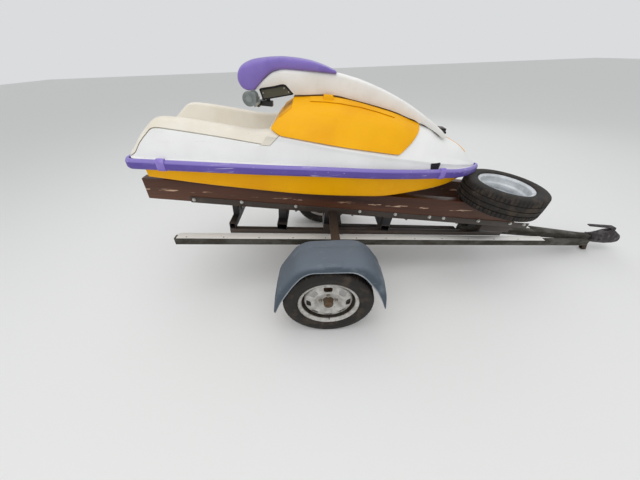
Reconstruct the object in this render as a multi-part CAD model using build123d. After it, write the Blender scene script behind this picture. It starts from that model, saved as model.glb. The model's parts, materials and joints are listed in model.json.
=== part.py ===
from build123d import *
import os
from math import atan, cos, degrees, radians, sin

os.makedirs("parts", exist_ok=True)

# A stand-up water craft on its single-axle trailer, parked nose-down on its foot.
# All lengths are millimetres. +X is forward, +Y is to port, +Z is up.
# Two working frames lie in the row's frame: the craft's own and the trailer frame's own.

# Parking attitude
CRAFT_PITCH = 7.0
FRAME_PITCH = 7.75
CRAFT_ORIGIN = (-1109, 0, 1109)
FRAME_ORIGIN = (0, 0, 473)
AXLE_TO_MIDDLE = 753.394

craft_place = Location(CRAFT_ORIGIN, (0, CRAFT_PITCH, 0))
frame_place = Location(FRAME_ORIGIN, (0, FRAME_PITCH, 0))
middle_shift = Location((-AXLE_TO_MIDDLE, 0, 0))


def save(node, shape, place=Location()):
    """Write one piece, moved from its working frame into the row's frame."""
    export_step(middle_shift * (place * shape), f"parts/{node}.step")


def side_prism(face_2d, half_width):
    """Extrude an outline drawn in x and z to both sides of the centre plane."""
    return extrude(Plane.XZ * face_2d, amount=half_width, both=True)


def polygon(*points, radius=0):
    """A closed outline, with every corner rounded when a radius is given."""
    if radius:
        return make_face(FilletPolyline(*points, radius=radius, close=True))
    return make_face(Polyline(*points, close=True))


def block(x, y, z):
    """A box from its low and high limits along each axis."""
    return Pos((x[0] + x[1]) / 2, (y[0] + y[1]) / 2, (z[0] + z[1]) / 2) * Box(
        x[1] - x[0], y[1] - y[0], z[1] - z[0]
    )


def section(x, half, radius):
    """A mirrored outline across the craft at x, from its starboard half as (y, z) points."""
    mirrored = [(-y, z) for y, z in reversed(half)]
    return Plane.YZ.offset(x) * polygon(*half, *mirrored, radius=radius)


def eased(points, reach):
    """Cut each corner but the first to two short chords that follow a round."""
    soft = [points[0]]
    for before, corner, after in zip(points, points[1:], points[2:] + [(-points[-1][0], points[-1][1])]):
        here = Vector(*corner)
        to_start = (Vector(*before) - here).normalized() * reach
        to_end = (Vector(*after) - here).normalized() * reach
        middle = here + (to_start + to_end) * 0.3
        soft += [(v.X, v.Y) for v in (here + to_start, middle, here + to_end)]
    return soft


# The bond line where hull and deck meet, as seen from the side: one shallow arc
SHEER_ENDS = ((-80, -13), (1130, 34), (2340, 18))
REACH = 460


def sheer_arc(rise):
    return ThreePointArc(*[(x, z + rise) for x, z in SHEER_ENDS])


def between_sheers(low, high):
    """Everything between two lines parallel to the bond line."""
    lower, upper = sheer_arc(low), sheer_arc(high)
    edges = [lower, Line(lower @ 1, upper @ 1), upper, Line(upper @ 0, lower @ 0)]
    return side_prism(make_face(edges), REACH)


# The bond flange seen from above
PLAN = [
    ThreePointArc((4, 262), (13, 289), (40, 300)),
    ThreePointArc((40, 300), (600, 322), (1150, 316)),
    ThreePointArc((1150, 316), (1560, 272), (1900, 186)),
    ThreePointArc((1900, 186), (2122, 88), (2216, 0)),
]
mirrored_plan = [mirror(edge, about=Plane.XZ) for edge in PLAN]
plan_face = make_face([Line((4, -262), (4, 262)), *PLAN, *mirrored_plan])
FLANGE = 8
flange_plan = Pos(0, 0, -300) * extrude(plan_face, amount=900)

# Hull: stations are x, half width at the flange, chine y and z, keel pad half width and z, corner
HULL_STATIONS = [
    (66, 276, 268, -121, 64, -176, 12),
    (500, 312, 290, -137, 64, -190, 14),
    (1000, 314, 292, -151, 58, -199, 14),
    (1450, 284, 256, -151, 46, -197, 12),
    (1800, 208, 172, -122, 28, -164, 8),
    (2000, 134, 104, -90, 16, -118, 5),
    (2128, 66, 44, -44, 8, -60, 3),
]
HULL_LOFT_TOP = 70
hull_form = loft(
    [
        section(x, [(y_top, HULL_LOFT_TOP), (y_chine, z_chine), (y_pad, z_keel)], corner)
        for x, y_top, y_chine, z_chine, y_pad, z_keel, corner in HULL_STATIONS
    ],
    ruled=True,
)
hull_body = hull_form & between_sheers(-400, 0)
hull_flange = flange_plan & between_sheers(-FLANGE, 0)

# Pump tunnel and intake, open at the transom and below
TUNNEL_X = (50, 345)
TUNNEL_HALF = 92
TUNNEL_TOP = -18
INTAKE_X = (345, 560)
INTAKE_HALF = 58
PUMP_Z = -100
SHAFT_R = 12.5
ENGINE_BAY_X = (930, 1530)
ENGINE_BAY_HALF = 175
ENGINE_BAY_FLOOR = -128

tunnel = block(TUNNEL_X, (-TUNNEL_HALF, TUNNEL_HALF), (-260, TUNNEL_TOP))
intake_outline = polygon(
    (INTAKE_X[0], -260), (INTAKE_X[1], -260), (INTAKE_X[1], -150), (420, -22), (INTAKE_X[0], -22)
)
intake = side_prism(intake_outline, INTAKE_HALF)
shaft_bore = Pos(640, 0, PUMP_Z) * Rot(0, 90, 0) * Cylinder(SHAFT_R + 0.5, 620)
bay = block(ENGINE_BAY_X, (-ENGINE_BAY_HALF, ENGINE_BAY_HALF), (ENGINE_BAY_FLOOR, 260))
hull = hull_body + hull_flange - tunnel - intake - shaft_bore - bay
save("hull_bottom", hull, craft_place)

# Upper form aft of the hood: x, base y, seam y and z, crest y and z, corner radius
AFT_STATIONS = [
    (5, 268, 262, 26, 240, 40, 5),
    (95, 300, 284, 90, 250, 122, 12),
    (185, 308, 272, 166, 238, 204, 16),
    (260, 312, 272, 168, 238, 212, 18),
    (520, 314, 276, 158, 238, 202, 18),
    (880, 314, 284, 146, 238, 184, 18),
]
aft_form = loft(
    [
        section(x, eased([(y_base, -40), (y_seam, z_seam), (y_crest, z_crest)], corner), 0)
        for x, y_base, y_seam, z_seam, y_crest, z_crest, corner in AFT_STATIONS
    ],
    ruled=True,
)

# Upper form from the hood forward: x, then (y, z) of base, crease, hood edge, shoulder and crown
FORE_STATIONS = [
    (640, (314, -40), (281, 180), (262, 214), (168, 290), (66, 322), 14),
    (770, (314, -40), (281, 180), (262, 214), (168, 290), (66, 322), 14),
    (1120, (315, -40), (288, 150), (268, 178), (172, 310), (66, 354), 14),
    (1480, (282, -40), (262, 116), (244, 148), (158, 276), (60, 312), 14),
    (1680, (248, -40), (226, 98), (204, 132), (122, 230), (50, 264), 12),
    (1850, (202, -40), (180, 78), (150, 112), (90, 176), (36, 205), 10),
    (2000, (146, -40), (124, 62), (96, 86), (56, 138), (24, 166), 7),
    (2120, (84, -40), (68, 50), (52, 62), (34, 80), (16, 90), 4),
    (2196, (18, -40), (15, 33), (12, 42), (8, 48), (4, 51), 1.2),
]


def fore_form(proud):
    """The fore deck's form, stood out by a few millimetres for a cover that lies on it."""
    faces = []
    for x, base, crease, edge, shoulder, crown, corner in FORE_STATIONS:
        half = [(base[0] + proud, base[1])]
        half += [(y + proud, z + 0.5 * proud) for y, z in (crease, edge)]
        half += [(y + 0.7 * proud, z + 0.8 * proud) for y, z in (shoulder,)]
        half += [(crown[0], crown[1] + proud)]
        faces.append(section(x, half, corner))
    return loft(faces, ruled=True)


fore_deck_form = fore_form(0)

# The slanted front wall of the tray, from the floor to the hood
BULKHEAD = polygon(
    (656, -60), (656, 0), (700, 60), (806, 205), (916, 345), (916, 600), (3000, 600), (3000, -60)
)
bulkhead_forward = side_prism(BULKHEAD, REACH)

# The rider's tray: a tub of constant section, open at the stern
TRAY_FLOOR = 30
TRAY_WALL = 5
tray_section = [(158, TRAY_FLOOR), (186, 150), (204, 300)]
TRAY_FRONT = [(-60, 0), (648, 0), (692, 60), (798, 205), (930, 373), (930, 400), (-60, 400)]
tray_cut = loft([section(x, tray_section, 28) for x in (-60, 1000)], ruled=True) & side_prism(
    polygon(*TRAY_FRONT), REACH
)
tub_section = [(158 + TRAY_WALL, TRAY_FLOOR - TRAY_WALL), (186 + TRAY_WALL, 150), (204 + TRAY_WALL, 300)]
tub_outer = loft([section(x, tub_section, 32) for x in (-60, 1000)], ruled=True)

# Everything above the seam between the white deck and the cream liner, in side view
SEAM = polygon(
    (-60, -20), (26, 40), (150, 150), (196, 166), (432, 157), (800, 142), (852, 192),
    (852, 600), (-60, 600),
)
above_seam = side_prism(SEAM, REACH)
upper_aft = aft_form & between_sheers(0, 700)
upper_aft -= bulkhead_forward
upper_fore = fore_deck_form & between_sheers(0, 700) & bulkhead_forward

liner = (upper_aft & (above_seam + tub_outer)) - tray_cut
deck_flange = flange_plan & between_sheers(0, FLANGE)
flange_outside = deck_flange - (tub_outer - bulkhead_forward)
deck = (upper_aft - above_seam - tub_outer) + flange_outside + upper_fore - bay
save("deck", deck, craft_place)
save("tray_liner", liner, craft_place)

# The hood: a cover lying on the fore deck
HOOD_PROUD = 9
HOOD_OUTLINE = polygon(
    (808, 214), (858, 189), (1200, 158), (1536, 134), (1616, 190), (1672, 246), (1692, 300),
    (1692, 480), (930, 480), (914, 342), radius=12,
)
hood_shell = (fore_form(HOOD_PROUD) - fore_deck_form) & side_prism(HOOD_OUTLINE, REACH)
hood_shell &= block((790, 1720), (-REACH, REACH), (90, 500))
save("hood", hood_shell, craft_place)
hood_hook = block((1085, 1150), (-80, 22), (320, 364.5)) + block((1085, 1138), (-106, -73), (310, 376))
save("hood_latch", hood_hook - fore_form(HOOD_PROUD), craft_place)

# Bumper: a rubber rail round the bond flange, in lengths joined by clips
BUMPER_OUT = 24
BUMPER_HALF = 30
BUMPER_STEP = 9
CLIP_EXTRA = 5
bumper_plan = Pos(0, 0, -300) * extrude(offset(plan_face, BUMPER_OUT), amount=900)
bumper_back = Pos(0, 0, -300) * extrude(offset(plan_face, BUMPER_OUT - BUMPER_STEP), amount=900)
bumper_nose = between_sheers(BUMPER_STEP - BUMPER_HALF, BUMPER_HALF - BUMPER_STEP)
bumper_ring = (bumper_plan & bumper_nose) + (bumper_back & between_sheers(-BUMPER_HALF, BUMPER_HALF))
bumper_ring -= flange_plan
clip_plan = Pos(0, 0, -300) * extrude(offset(plan_face, BUMPER_OUT + CLIP_EXTRA), amount=900)
CLIP_X = [(178, 222), (1818, 1856)]
STERN_JOINT = 200
BOW_JOINT = 1837
side_length = block((STERN_JOINT, BOW_JOINT), (-REACH, REACH), (-300, 300))
side_rails = bumper_ring & side_length
save("bumper_stern", bumper_ring & block((-60, STERN_JOINT), (-REACH, REACH), (-300, 300)), craft_place)
save("bumper_bow", bumper_ring & block((BOW_JOINT, 2300), (-REACH, REACH), (-300, 300)), craft_place)
for side_name, side in (("starboard", -1), ("port", 1)):
    half_space = block((-100, 2400), sorted((0, side * REACH)), (-400, 400))
    save(f"bumper_side_{side_name}", side_rails & half_space, craft_place)
clip_band = (clip_plan - flange_plan) & between_sheers(-BUMPER_HALF - 4, BUMPER_HALF + 4)
clips = Part() + [clip_band & block(x, (-REACH, REACH), (-300, 300)) for x in CLIP_X]
save("bumper_clips", clips - bumper_ring, craft_place)

# Handle pole: a channel open underneath, narrower in the middle
POLE_HEAD = [(690, 352), (745, 411), (800, 453), (860, 469), (1150, 474)]
pole_top = ThreePointArc((1150, 474), (1582, 371), (1897, 233))
pole_under = ThreePointArc((1866, 206), (1560, 316), (1131, 374))
pole_outline = make_face(
    [
        Polyline(*POLE_HEAD),
        pole_top,
        ThreePointArc((1897, 233), (1886, 214), (1866, 206)),
        pole_under,
        Polyline((1131, 374), (919, 356), (867, 403), (716, 369), (690, 352)),
    ]
)
POLE_WIDTHS = [(660, 62), (880, 76), (1180, 60), (1600, 58), (1930, 74)]
pole_plan = polygon(*POLE_WIDTHS, *[(x, -y) for x, y in reversed(POLE_WIDTHS)])
pole_wall = 8
pole_hollow = [(950, 200), (950, 380), (1150, 455), (1420, 410), (1690, 312), (1690, 200)]
pole = side_prism(pole_outline, 120) & (Pos(0, 0, 200) * extrude(pole_plan, amount=400))
pole -= side_prism(polygon(*pole_hollow), 58 - pole_wall)
PIVOT = (1869, 233)
PIVOT_R = 9
pivot_slot = block((1826, 1960), (-38, 38), (100, 400))
pivot_bore = Pos(PIVOT[0], 0, PIVOT[1]) * Rot(90, 0, 0) * Cylinder(PIVOT_R + 0.4, 220)
pole = pole - pivot_slot - pivot_bore
save("handle_pole", pole, craft_place)

# Pivot bracket on the nose, with its pin
bracket = block((1848, 1890), (-32, 32), (150, 250))
bracket -= fore_deck_form
pin = Pos(PIVOT[0], 0, PIVOT[1]) * Rot(90, 0, 0) * Cylinder(PIVOT_R, 136)
save("pole_bracket", bracket + pin, craft_place)

# Chin pad on the pole's head
pad_outline = make_face(
    [
        ThreePointArc((634, 468), (870, 524), (1146, 485)),
        Line((1146, 485), (1146, 473.95)),
        Polyline((1146, 473.95), (860, 469), (800, 453), (745, 411), (690, 352)),
        Line((690, 352), (648, 352)),
        ThreePointArc((648, 352), (604, 404), (634, 468)),
    ]
)
PAD_HALF = 80
save("chin_pad", side_prism(pad_outline, PAD_HALF) - pole, craft_place)

# Steering head under the pole's head, handlebar and its fittings
STEM_X = 760
STEM_R = 12
head_outline = polygon((714, 366), (864, 400), (914, 356), (905, 350), (735, 309))
stem_bore = Pos(STEM_X, 0, 320) * Cylinder(STEM_R + 0.4, 60)
save("steering_head", side_prism(head_outline, 42) - pole - stem_bore, craft_place)
BAR_X = 716
BAR_R = 11
BAR_END_Z = 350
BAR_PATH = [(-306, BAR_END_Z), (-162, BAR_END_Z), (-94, 289)]
BAR_PATH += [(-y, z) for y, z in reversed(BAR_PATH)]
bar_line = Plane.YZ.offset(BAR_X) * FilletPolyline(*BAR_PATH, radius=30)
bar_tube = sweep(Plane((BAR_X, -306, BAR_END_Z), z_dir=(0, 1, 0)) * Circle(BAR_R), path=bar_line)
clamp = block((698, 786), (-24, 24), (276, 302))
stem = Pos(STEM_X, 0, 312) * Cylinder(STEM_R, 64)
save("handlebar", bar_tube + clamp + stem, craft_place)


def on_bar(y, radius, length):
    """A sleeve round the handlebar's straight end."""
    sleeve = Cylinder(radius, length) - Cylinder(BAR_R, length + 2)
    return Pos(BAR_X, y, BAR_END_Z) * Rot(90, 0, 0) * sleeve


grips = Part()
for side in (-1, 1):
    grips += on_bar(side * 247, 17, 110) + on_bar(side * 304, 24, 6)
save("grips", grips, craft_place)
save("switch_housing", on_bar(182, 20, 18), craft_place)
lever = on_bar(-182, 20, 18) + block((726, 742), (-190, -172), (316, 346))
lever += block((732, 742), (-286, -172), (314, 324))
save("throttle_lever", lever - bar_tube - on_bar(-247, 17, 110), craft_place)

# Engine as one plain block, on the bay's floor
save("engine_block", block((1010, 1440), (-135, 135), (ENGINE_BAY_FLOOR, 120)), craft_place)

# Jet pump
PUMP_R = 80
PUMP_BORE_R = 72
NOZZLE_PIVOT_X = 50
PIVOT_PIN_R = 6
# The outlet draws in well ahead of the nozzle's rim, which swings round it
pump_profile = [
    (110, PUMP_R), (345, PUMP_R), (345, PUMP_BORE_R), (122, PUMP_BORE_R), (100, 40), (66, 37), (66, 42),
    (92, 46),
]


def around_pump(profile):
    """Revolve a profile of (x, radius) points about the pump's axis."""
    face = Plane.XZ * polygon(*profile)
    return Pos(0, 0, PUMP_Z) * revolve(face, Axis.X)


pump_feet = block((120, 330), (-TUNNEL_HALF, TUNNEL_HALF), (-108, -92)) - (
    Pos(225, 0, PUMP_Z) * Rot(0, 90, 0) * Cylinder(PUMP_R - 2, 240)
)
pivot_ears = Part()
for side in (-1, 1):
    ear_z = sorted((PUMP_Z + side * 68, PUMP_Z + side * 76))
    pivot_ears += block((NOZZLE_PIVOT_X - 10, 120), (-10, 10), ear_z)
    pivot_ears += Pos(NOZZLE_PIVOT_X, 0, PUMP_Z + side * 64) * Cylinder(PIVOT_PIN_R, 16)
pump = around_pump(pump_profile) + pump_feet + pivot_ears
save("pump_housing", pump, craft_place)

hub = around_pump([(150, 0), (300, 0), (300, 16), (270, 26), (190, 26), (150, 8)])
shaft = Pos(430, 0, PUMP_Z) * Rot(0, 90, 0) * Cylinder(SHAFT_R, 330)
impeller = hub + shaft
for turn in range(4):
    blade = Pos(230, 0, PUMP_Z) * Rot(turn * 90, 0, 0) * Pos(0, 0, 44) * Rot(0, 0, 32) * Box(4, 62, 44)
    impeller += blade & around_pump([(190, 20), (280, 20), (280, 66), (190, 66)])
save("impeller", impeller, craft_place)

nozzle = around_pump([(-34, 46), (63, 60), (63, 55), (-34, 40)])
for side in (-1, 1):
    nozzle += Pos(NOZZLE_PIVOT_X, 0, PUMP_Z + side * 59) * Cylinder(10, 9)
for side in (-1, 1):
    nozzle -= Pos(NOZZLE_PIVOT_X, 0, PUMP_Z + side * 60) * Cylinder(PIVOT_PIN_R + 0.4, 16)
save("steering_nozzle", nozzle, craft_place)

RIDE_PLATE_Z = (-190, -183)
save("ride_plate", block((72, 345), (-TUNNEL_HALF, TUNNEL_HALF), RIDE_PLATE_Z), craft_place)
grate = block(INTAKE_X, (-INTAKE_HALF, INTAKE_HALF), (-192, -184))
for bar_y in (-29, 0, 29):
    for lane in (-1, 1):
        lane_y = sorted((bar_y + lane * 4, bar_y + lane * 25))
        grate -= block((365, 540), lane_y, (-200, -170))
save("intake_grate", grate, craft_place)

# Trailer: two side rails that meet at the coupling, in the frame's own pitched frame
RAIL_H = 53
RAIL_W = 40
RAIL_WALL = 4
RAIL_SPREAD_AT_AXLE = 303
RAIL_TAPER = 0.0985
RAIL_X = (-1015, 2390)
rail_yaw = degrees(atan(RAIL_TAPER))
rail_length = (RAIL_X[1] - RAIL_X[0]) / cos(radians(rail_yaw))
STRIP_W = 58
STRIP_T = 3
STRIP_X = (-1000, 1905)


def rail_half(x):
    """Distance of a rail's outer face from the centre plane."""
    return RAIL_SPREAD_AT_AXLE - RAIL_TAPER * x


def along_rail(x_low, x_high, y_in, y_out, z, side):
    """A bar that runs with a side rail; y is counted inward from the rail's outer face."""
    start, end = rail_half(x_low), rail_half(x_high)
    corners = [(x_low, start - y_out), (x_high, end - y_out), (x_high, end - y_in), (x_low, start - y_in)]
    face = polygon(*[(x, side * y) for x, y in corners])
    return Pos(0, 0, z[0]) * extrude(face, amount=z[1] - z[0], dir=(0, 0, 1))


for side_name, side in (("starboard", -1), ("port", 1)):
    rail = along_rail(*RAIL_X, 0, RAIL_W, (-RAIL_H, 0), side)
    channel_z = (-RAIL_H + RAIL_WALL, -RAIL_WALL)
    rail -= along_rail(RAIL_X[0] - 10, RAIL_X[1] + 10, RAIL_WALL, RAIL_W + 5, channel_z, side)
    save(f"rail_{side_name}", rail, frame_place)
    strip = along_rail(*STRIP_X, 0, STRIP_W, (0, STRIP_T), side)
    save(f"rail_strip_{side_name}", strip, frame_place)

# Central drawbar, coupling, handle and foot
DRAWBAR_HALF = 25
save("drawbar", block((1180, 2420), (-DRAWBAR_HALF, DRAWBAR_HALF), (-27, 27)), frame_place)
COUPLING_X = (2420, 2668)
BALL_R = 25
casting = polygon((2420, -36), (2420, 34), (2500, 34), (2600, 26), (2600, -28), (2500, -36), radius=8)
coupling = side_prism(casting, 34) + side_prism(polygon((2420, -36), (2444, -36), (2444, 34), (2420, 34)), 42)
coupling += Pos(2630, 0, 0) * Rot(0, 90, 0) * Cylinder(32, 76)
coupling += Pos(COUPLING_X[1], 0, 2) * Sphere(44)
ball_cup = Pos(COUPLING_X[1], 0, -16) * Sphere(BALL_R + 0.5)
ball_cup += Pos(COUPLING_X[1], 0, -61) * Cylinder(BALL_R + 0.5, 90)
coupling -= ball_cup
save("coupling_head", coupling, frame_place)
handle = block((2350, 2566), (-15, 15), (98, 106)) + block((2544, 2566), (-10, 10), (30, 98))
save("coupling_handle", handle - coupling, frame_place)

# Black sub-frame on the rails, and posts up to the bunk steels
STEEL_Z = (165, 169)
STEEL_LEG = 45
BUNK_Y = (142, 202)
STEEL_X = (-940, 1540)
POST_Y = (148, 195)
BEAM_X = (-672, 1500)
BEAM_IN = (60, 98)
BEAM_Z = (STRIP_T, 38)
CROSS_Z = (38, 88)
CROSS_WALL = 4
for side_name, side in (("starboard", -1), ("port", 1)):
    save(f"frame_beam_{side_name}", along_rail(*BEAM_X, *BEAM_IN, BEAM_Z, side), frame_place)

# Cross tubes: middle and width; each ends flush with the beams it lies on
CROSS = [("crossmember_aft", -652, 40), ("crossmember_middle", -318, 66), ("crossmember_fore", 452, 66)]
for name, x_mid, width in CROSS:
    half = rail_half(x_mid) - BEAM_IN[0]
    x_range = (x_mid - width / 2, x_mid + width / 2)
    tube = block(x_range, (-half, half), CROSS_Z)
    bore = block(
        (x_range[0] + CROSS_WALL, x_range[1] - CROSS_WALL), (-half - 1, half + 1),
        (CROSS_Z[0] + CROSS_WALL, CROSS_Z[1] - CROSS_WALL),
    )
    tube -= bore
    for side in (-1, 1):
        post_y = sorted((side * POST_Y[0], side * POST_Y[1]))
        tube += block(x_range, post_y, (CROSS_Z[1], STEEL_Z[0]))
    save(name, tube, frame_place)
SADDLE_X = (-20, 88)
SADDLE_HALF = 242
saddle = block(SADDLE_X, (-SADDLE_HALF, SADDLE_HALF), CROSS_Z)
for side in (-1, 1):
    saddle += block(SADDLE_X, sorted((side * POST_Y[0], side * 205)), (CROSS_Z[1], STEEL_Z[0]))
save("axle_saddle", saddle, frame_place)
front_block = block((1185, 1425), (-204, 204), (112, STEEL_Z[0]))
front_block += block((1230, 1380), (-30, 30), (27, 112))
save("front_support", front_block, frame_place)


def craft_to_row(x, z):
    pitch = radians(CRAFT_PITCH)
    return (
        CRAFT_ORIGIN[0] + x * cos(pitch) + z * sin(pitch),
        CRAFT_ORIGIN[2] - x * sin(pitch) + z * cos(pitch),
    )


def frame_to_row(x, z):
    pitch = radians(FRAME_PITCH)
    return (
        FRAME_ORIGIN[0] + x * cos(pitch) + z * sin(pitch),
        FRAME_ORIGIN[2] - x * sin(pitch) + z * cos(pitch),
    )


BUNK_TOP = -167
bunk_outline = polygon(
    craft_to_row(-32, BUNK_TOP), craft_to_row(2760, BUNK_TOP),
    frame_to_row(1620, STEEL_Z[1]), frame_to_row(-1215, STEEL_Z[1]),
)
hull_in_row = craft_place * hull_form
for side_name, side in (("starboard", -1), ("port", 1)):
    bunk_y = sorted((side * BUNK_Y[0], side * BUNK_Y[1]))
    bunk = side_prism(bunk_outline, 300) & block((-1400, 1800), bunk_y, (0, 1300))
    bunk -= hull_in_row
    save(f"bunk_{side_name}", bunk)
    leg_y = sorted((side * BUNK_Y[1], side * (BUNK_Y[1] + 4)))
    foot_y = sorted((side * (BUNK_Y[0] + 15), side * (BUNK_Y[1] + 4)))
    steel = block(STEEL_X, leg_y, (STEEL_Z[0], STEEL_Z[0] + STEEL_LEG)) + block(STEEL_X, foot_y, STEEL_Z)
    save(f"bunk_steel_{side_name}", steel, frame_place)

# Axle: torsion tube under the rails, trailing arms and stub axles
WHEEL_R = 291.5
TYRE_W = 177
WHEEL_Y = 663.5
TUBE_X = 118
TUBE_Z = 364
TUBE_HALF = 29
tube_x, tube_z = [(middle - TUBE_HALF, middle + TUBE_HALF) for middle in (TUBE_X, TUBE_Z)]
axle_tube = block(tube_x, (-518, 518), tube_z)
for side in (-1, 1):
    pad = along_rail(70, 190, 4, RAIL_W, (-RAIL_H - 40, -RAIL_H), side)
    axle_tube += frame_place * pad
save("axle_tube", axle_tube)
SPAR = [(147, 346), (1292, 262), (1292, 298), (147, 382)]
spar = side_prism(polygon(*SPAR), 20) - frame_place * block((1150, 2000), (-40, 40), (-27, 60))
save("centre_spar", spar)
STUB_R = 14
arms = Part()
for side in (-1, 1):
    arm_face = Plane.XZ * make_hull(
        (Pos(TUBE_X, TUBE_Z) * Circle(36)).edges() + (Pos(0, WHEEL_R) * Circle(26)).edges()
    )
    arm = extrude(arm_face, amount=9, both=True)
    stub = Pos(0, side * 605, WHEEL_R) * Rot(90, 0, 0) * Cylinder(STUB_R, 150)
    arms += Pos(0, side * 529, 0) * arm
    arms += stub
save("axle_arms", arms)

# Prop foot at the drawbar's front, standing on the ground
foot_top = frame_to_row(2448, -36)
foot = block((foot_top[0] - 16, foot_top[0] + 14), (-14, 14), (0, foot_top[1] + 6))
foot += block((foot_top[0] - 30, foot_top[0] + 26), (-30, 30), (0, 6))
foot -= frame_place * block((2400, 2600), (-34, 34), (-36, 34))
save("prop_foot", foot)

# Wheels: tyre and rim turned about their own axis, built lying on the Y axis
GROOVE_DEPTH = 7
GROOVE_HALF = 4
TREAD_GROOVES = (-38, 0, 38)
TYRE_SIDE = [(60, 290), (74, 283), (84, 262), (88.5, 236), (86, 214), (78, 196), (66, 180)]
tread = [(-TYRE_SIDE[0][0], TYRE_SIDE[0][1])]
for groove in TREAD_GROOVES:
    tread += [(groove - GROOVE_HALF, WHEEL_R), (groove - GROOVE_HALF, WHEEL_R - GROOVE_DEPTH)]
    tread += [(groove + GROOVE_HALF, WHEEL_R - GROOVE_DEPTH), (groove + GROOVE_HALF, WHEEL_R)]
TYRE_PROFILE = tread + TYRE_SIDE + [(-y, r) for y, r in reversed(TYRE_SIDE[1:])]
RIM_PROFILE = [
    (-75, 193), (-70, 195), (-66, 180), (-58, 176), (-20, 172), (-10, 158), (18, 158), (26, 172),
    (58, 176), (66, 180), (70, 195), (75, 193), (71, 176), (62, 170), (30, 166), (22, 152),
    (-14, 152), (-24, 166), (-62, 170), (-71, 176),
]
DISC_PROFILE = [
    (8, 152), (20, 152), (40, 128), (42, 96), (24, 78), (18, 36), (10, 36), (16, 80), (34, 100), (32, 124)
]


def turned(profile):
    """Revolve (y, radius) points about the wheel's axis."""
    face = Plane.YZ * polygon(*profile)
    return revolve(face, Axis.Y)


tyre_form = turned(TYRE_PROFILE)
slotted_rim = turned(RIM_PROFILE) + turned(DISC_PROFILE)
for index in range(8):
    slot = extrude(SlotOverall(46, 26), amount=40, both=True)
    slotted_rim -= Rot(0, index * 45, 0) * Pos(0, 35, 112) * Rot(90, 0, 0) * slot
hub_form = turned([
    (-40, STUB_R + 0.5), (-40, 36), (30, 36), (34, 30), (66, 30), (70, 24), (70, 0), (60, 0),
    (60, STUB_R + 0.5),
])
rim_form = slotted_rim + hub_form
for index in range(4):
    bolt = Rot(0, 45 + index * 90, 0) * Pos(0, 24, 50) * Rot(90, 0, 0) * Cylinder(9, 14)
    rim_form += bolt
for side_name, turn in (("starboard", 180), ("port", 0)):
    side = 1 if turn == 0 else -1
    place = Location((0, side * WHEEL_Y, WHEEL_R), (0, 0, turn))
    save(f"tyre_{side_name}", place * tyre_form)
    save(f"rim_{side_name}", place * (rim_form - tyre_form))

# Spare wheel, a size smaller, lying outside face down on the starboard bunk with its centre over
# the timber and its aft edge just under the bow
SPARE_SCALE = 0.89
SPARE_LIFT = SPARE_SCALE * TYRE_W / 2 + 0.2
spare_place = craft_place * Location((2364, -185, BUNK_TOP + SPARE_LIFT), (-90, 0, 0))
save("spare_tyre", spare_place * scale(tyre_form, by=SPARE_SCALE))
save("spare_rim", spare_place * scale(slotted_rim - tyre_form, by=SPARE_SCALE))

# Mudguards: a flat-topped arch whose outer edge rolls down over the tyre
GUARD_OUT = [
    (-352, 262), (-300, 528), (-214, 610), (-84, 652), (124, 652), (240, 606), (322, 524), (366, 262)
]
GUARD_ROUND = 60
GUARD_MIDDLE = (7, 262)
GUARD_WALL = 4
# Distance out from the centre plane, and how far the arch has drawn in there
GUARD_EDGE = [(532, 0), (694, 0), (726, 8), (750, 26), (766, 52)]


def guard_form(wall, overrun):
    """The arch as a closed solid, drawn in all round by the wall."""
    faces = []
    for y, drawn in GUARD_EDGE:
        size = 1 - (drawn + wall) / (GUARD_OUT[-1][0] - GUARD_MIDDLE[0])
        arch = [
            (GUARD_MIDDLE[0] + (x - GUARD_MIDDLE[0]) * size, GUARD_MIDDLE[1] + (z - GUARD_MIDDLE[1]) * size)
            for x, z in GUARD_OUT
        ]
        edge_y = {GUARD_EDGE[0][0]: y - overrun, GUARD_EDGE[-1][0]: y + overrun}.get(y, y)
        line = FilletPolyline(*arch, radius=GUARD_ROUND * size)
        faces.append(Plane.XZ.offset(-edge_y) * make_face([line, Line(arch[-1], arch[0])]))
    return loft(faces, ruled=True)


guard = guard_form(0, 0) - guard_form(GUARD_WALL, 1)
guard -= block((-400, 400), (500, 800), (200, GUARD_MIDDLE[1] + 0.5))
for side_name, side in (("starboard", -1), ("port", 1)):
    save(f"mudguard_{side_name}", guard if side > 0 else mirror(guard, about=Plane.XZ))
    carrier = block((30, 84), sorted((side * 206, side * 690)), (620, 647.5))
    save(f"mudguard_bracket_{side_name}", carrier)
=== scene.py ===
import json
from math import atan2, cos, pi, radians, sin, sqrt

import bmesh
import bpy
from mathutils import Matrix, Vector


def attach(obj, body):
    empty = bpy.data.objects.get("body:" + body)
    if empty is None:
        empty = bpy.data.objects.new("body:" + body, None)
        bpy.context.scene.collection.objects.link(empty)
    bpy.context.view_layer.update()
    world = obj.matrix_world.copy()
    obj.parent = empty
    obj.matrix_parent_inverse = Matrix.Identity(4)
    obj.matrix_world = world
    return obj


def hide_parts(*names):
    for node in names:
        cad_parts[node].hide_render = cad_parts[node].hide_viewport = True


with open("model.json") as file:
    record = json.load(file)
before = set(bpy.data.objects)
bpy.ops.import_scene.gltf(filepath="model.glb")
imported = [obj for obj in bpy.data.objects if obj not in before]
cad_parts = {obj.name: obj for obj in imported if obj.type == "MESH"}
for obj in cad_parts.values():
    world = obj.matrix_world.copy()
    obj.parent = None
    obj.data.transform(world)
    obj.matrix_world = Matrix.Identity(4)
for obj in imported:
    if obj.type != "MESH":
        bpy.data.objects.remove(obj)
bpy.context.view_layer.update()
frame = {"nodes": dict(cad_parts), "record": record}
nodes = frame["nodes"]
slots = {part["node"]: part["material_slot"] for part in frame["record"]["subparts"]}

# Lengths in the tables are millimetres; everything in the scene is metres.
MM = 0.001
# Points closer than this, in metres, are one
WELD = 2e-5
SIDES = {"starboard": -1, "port": 1}


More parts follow.
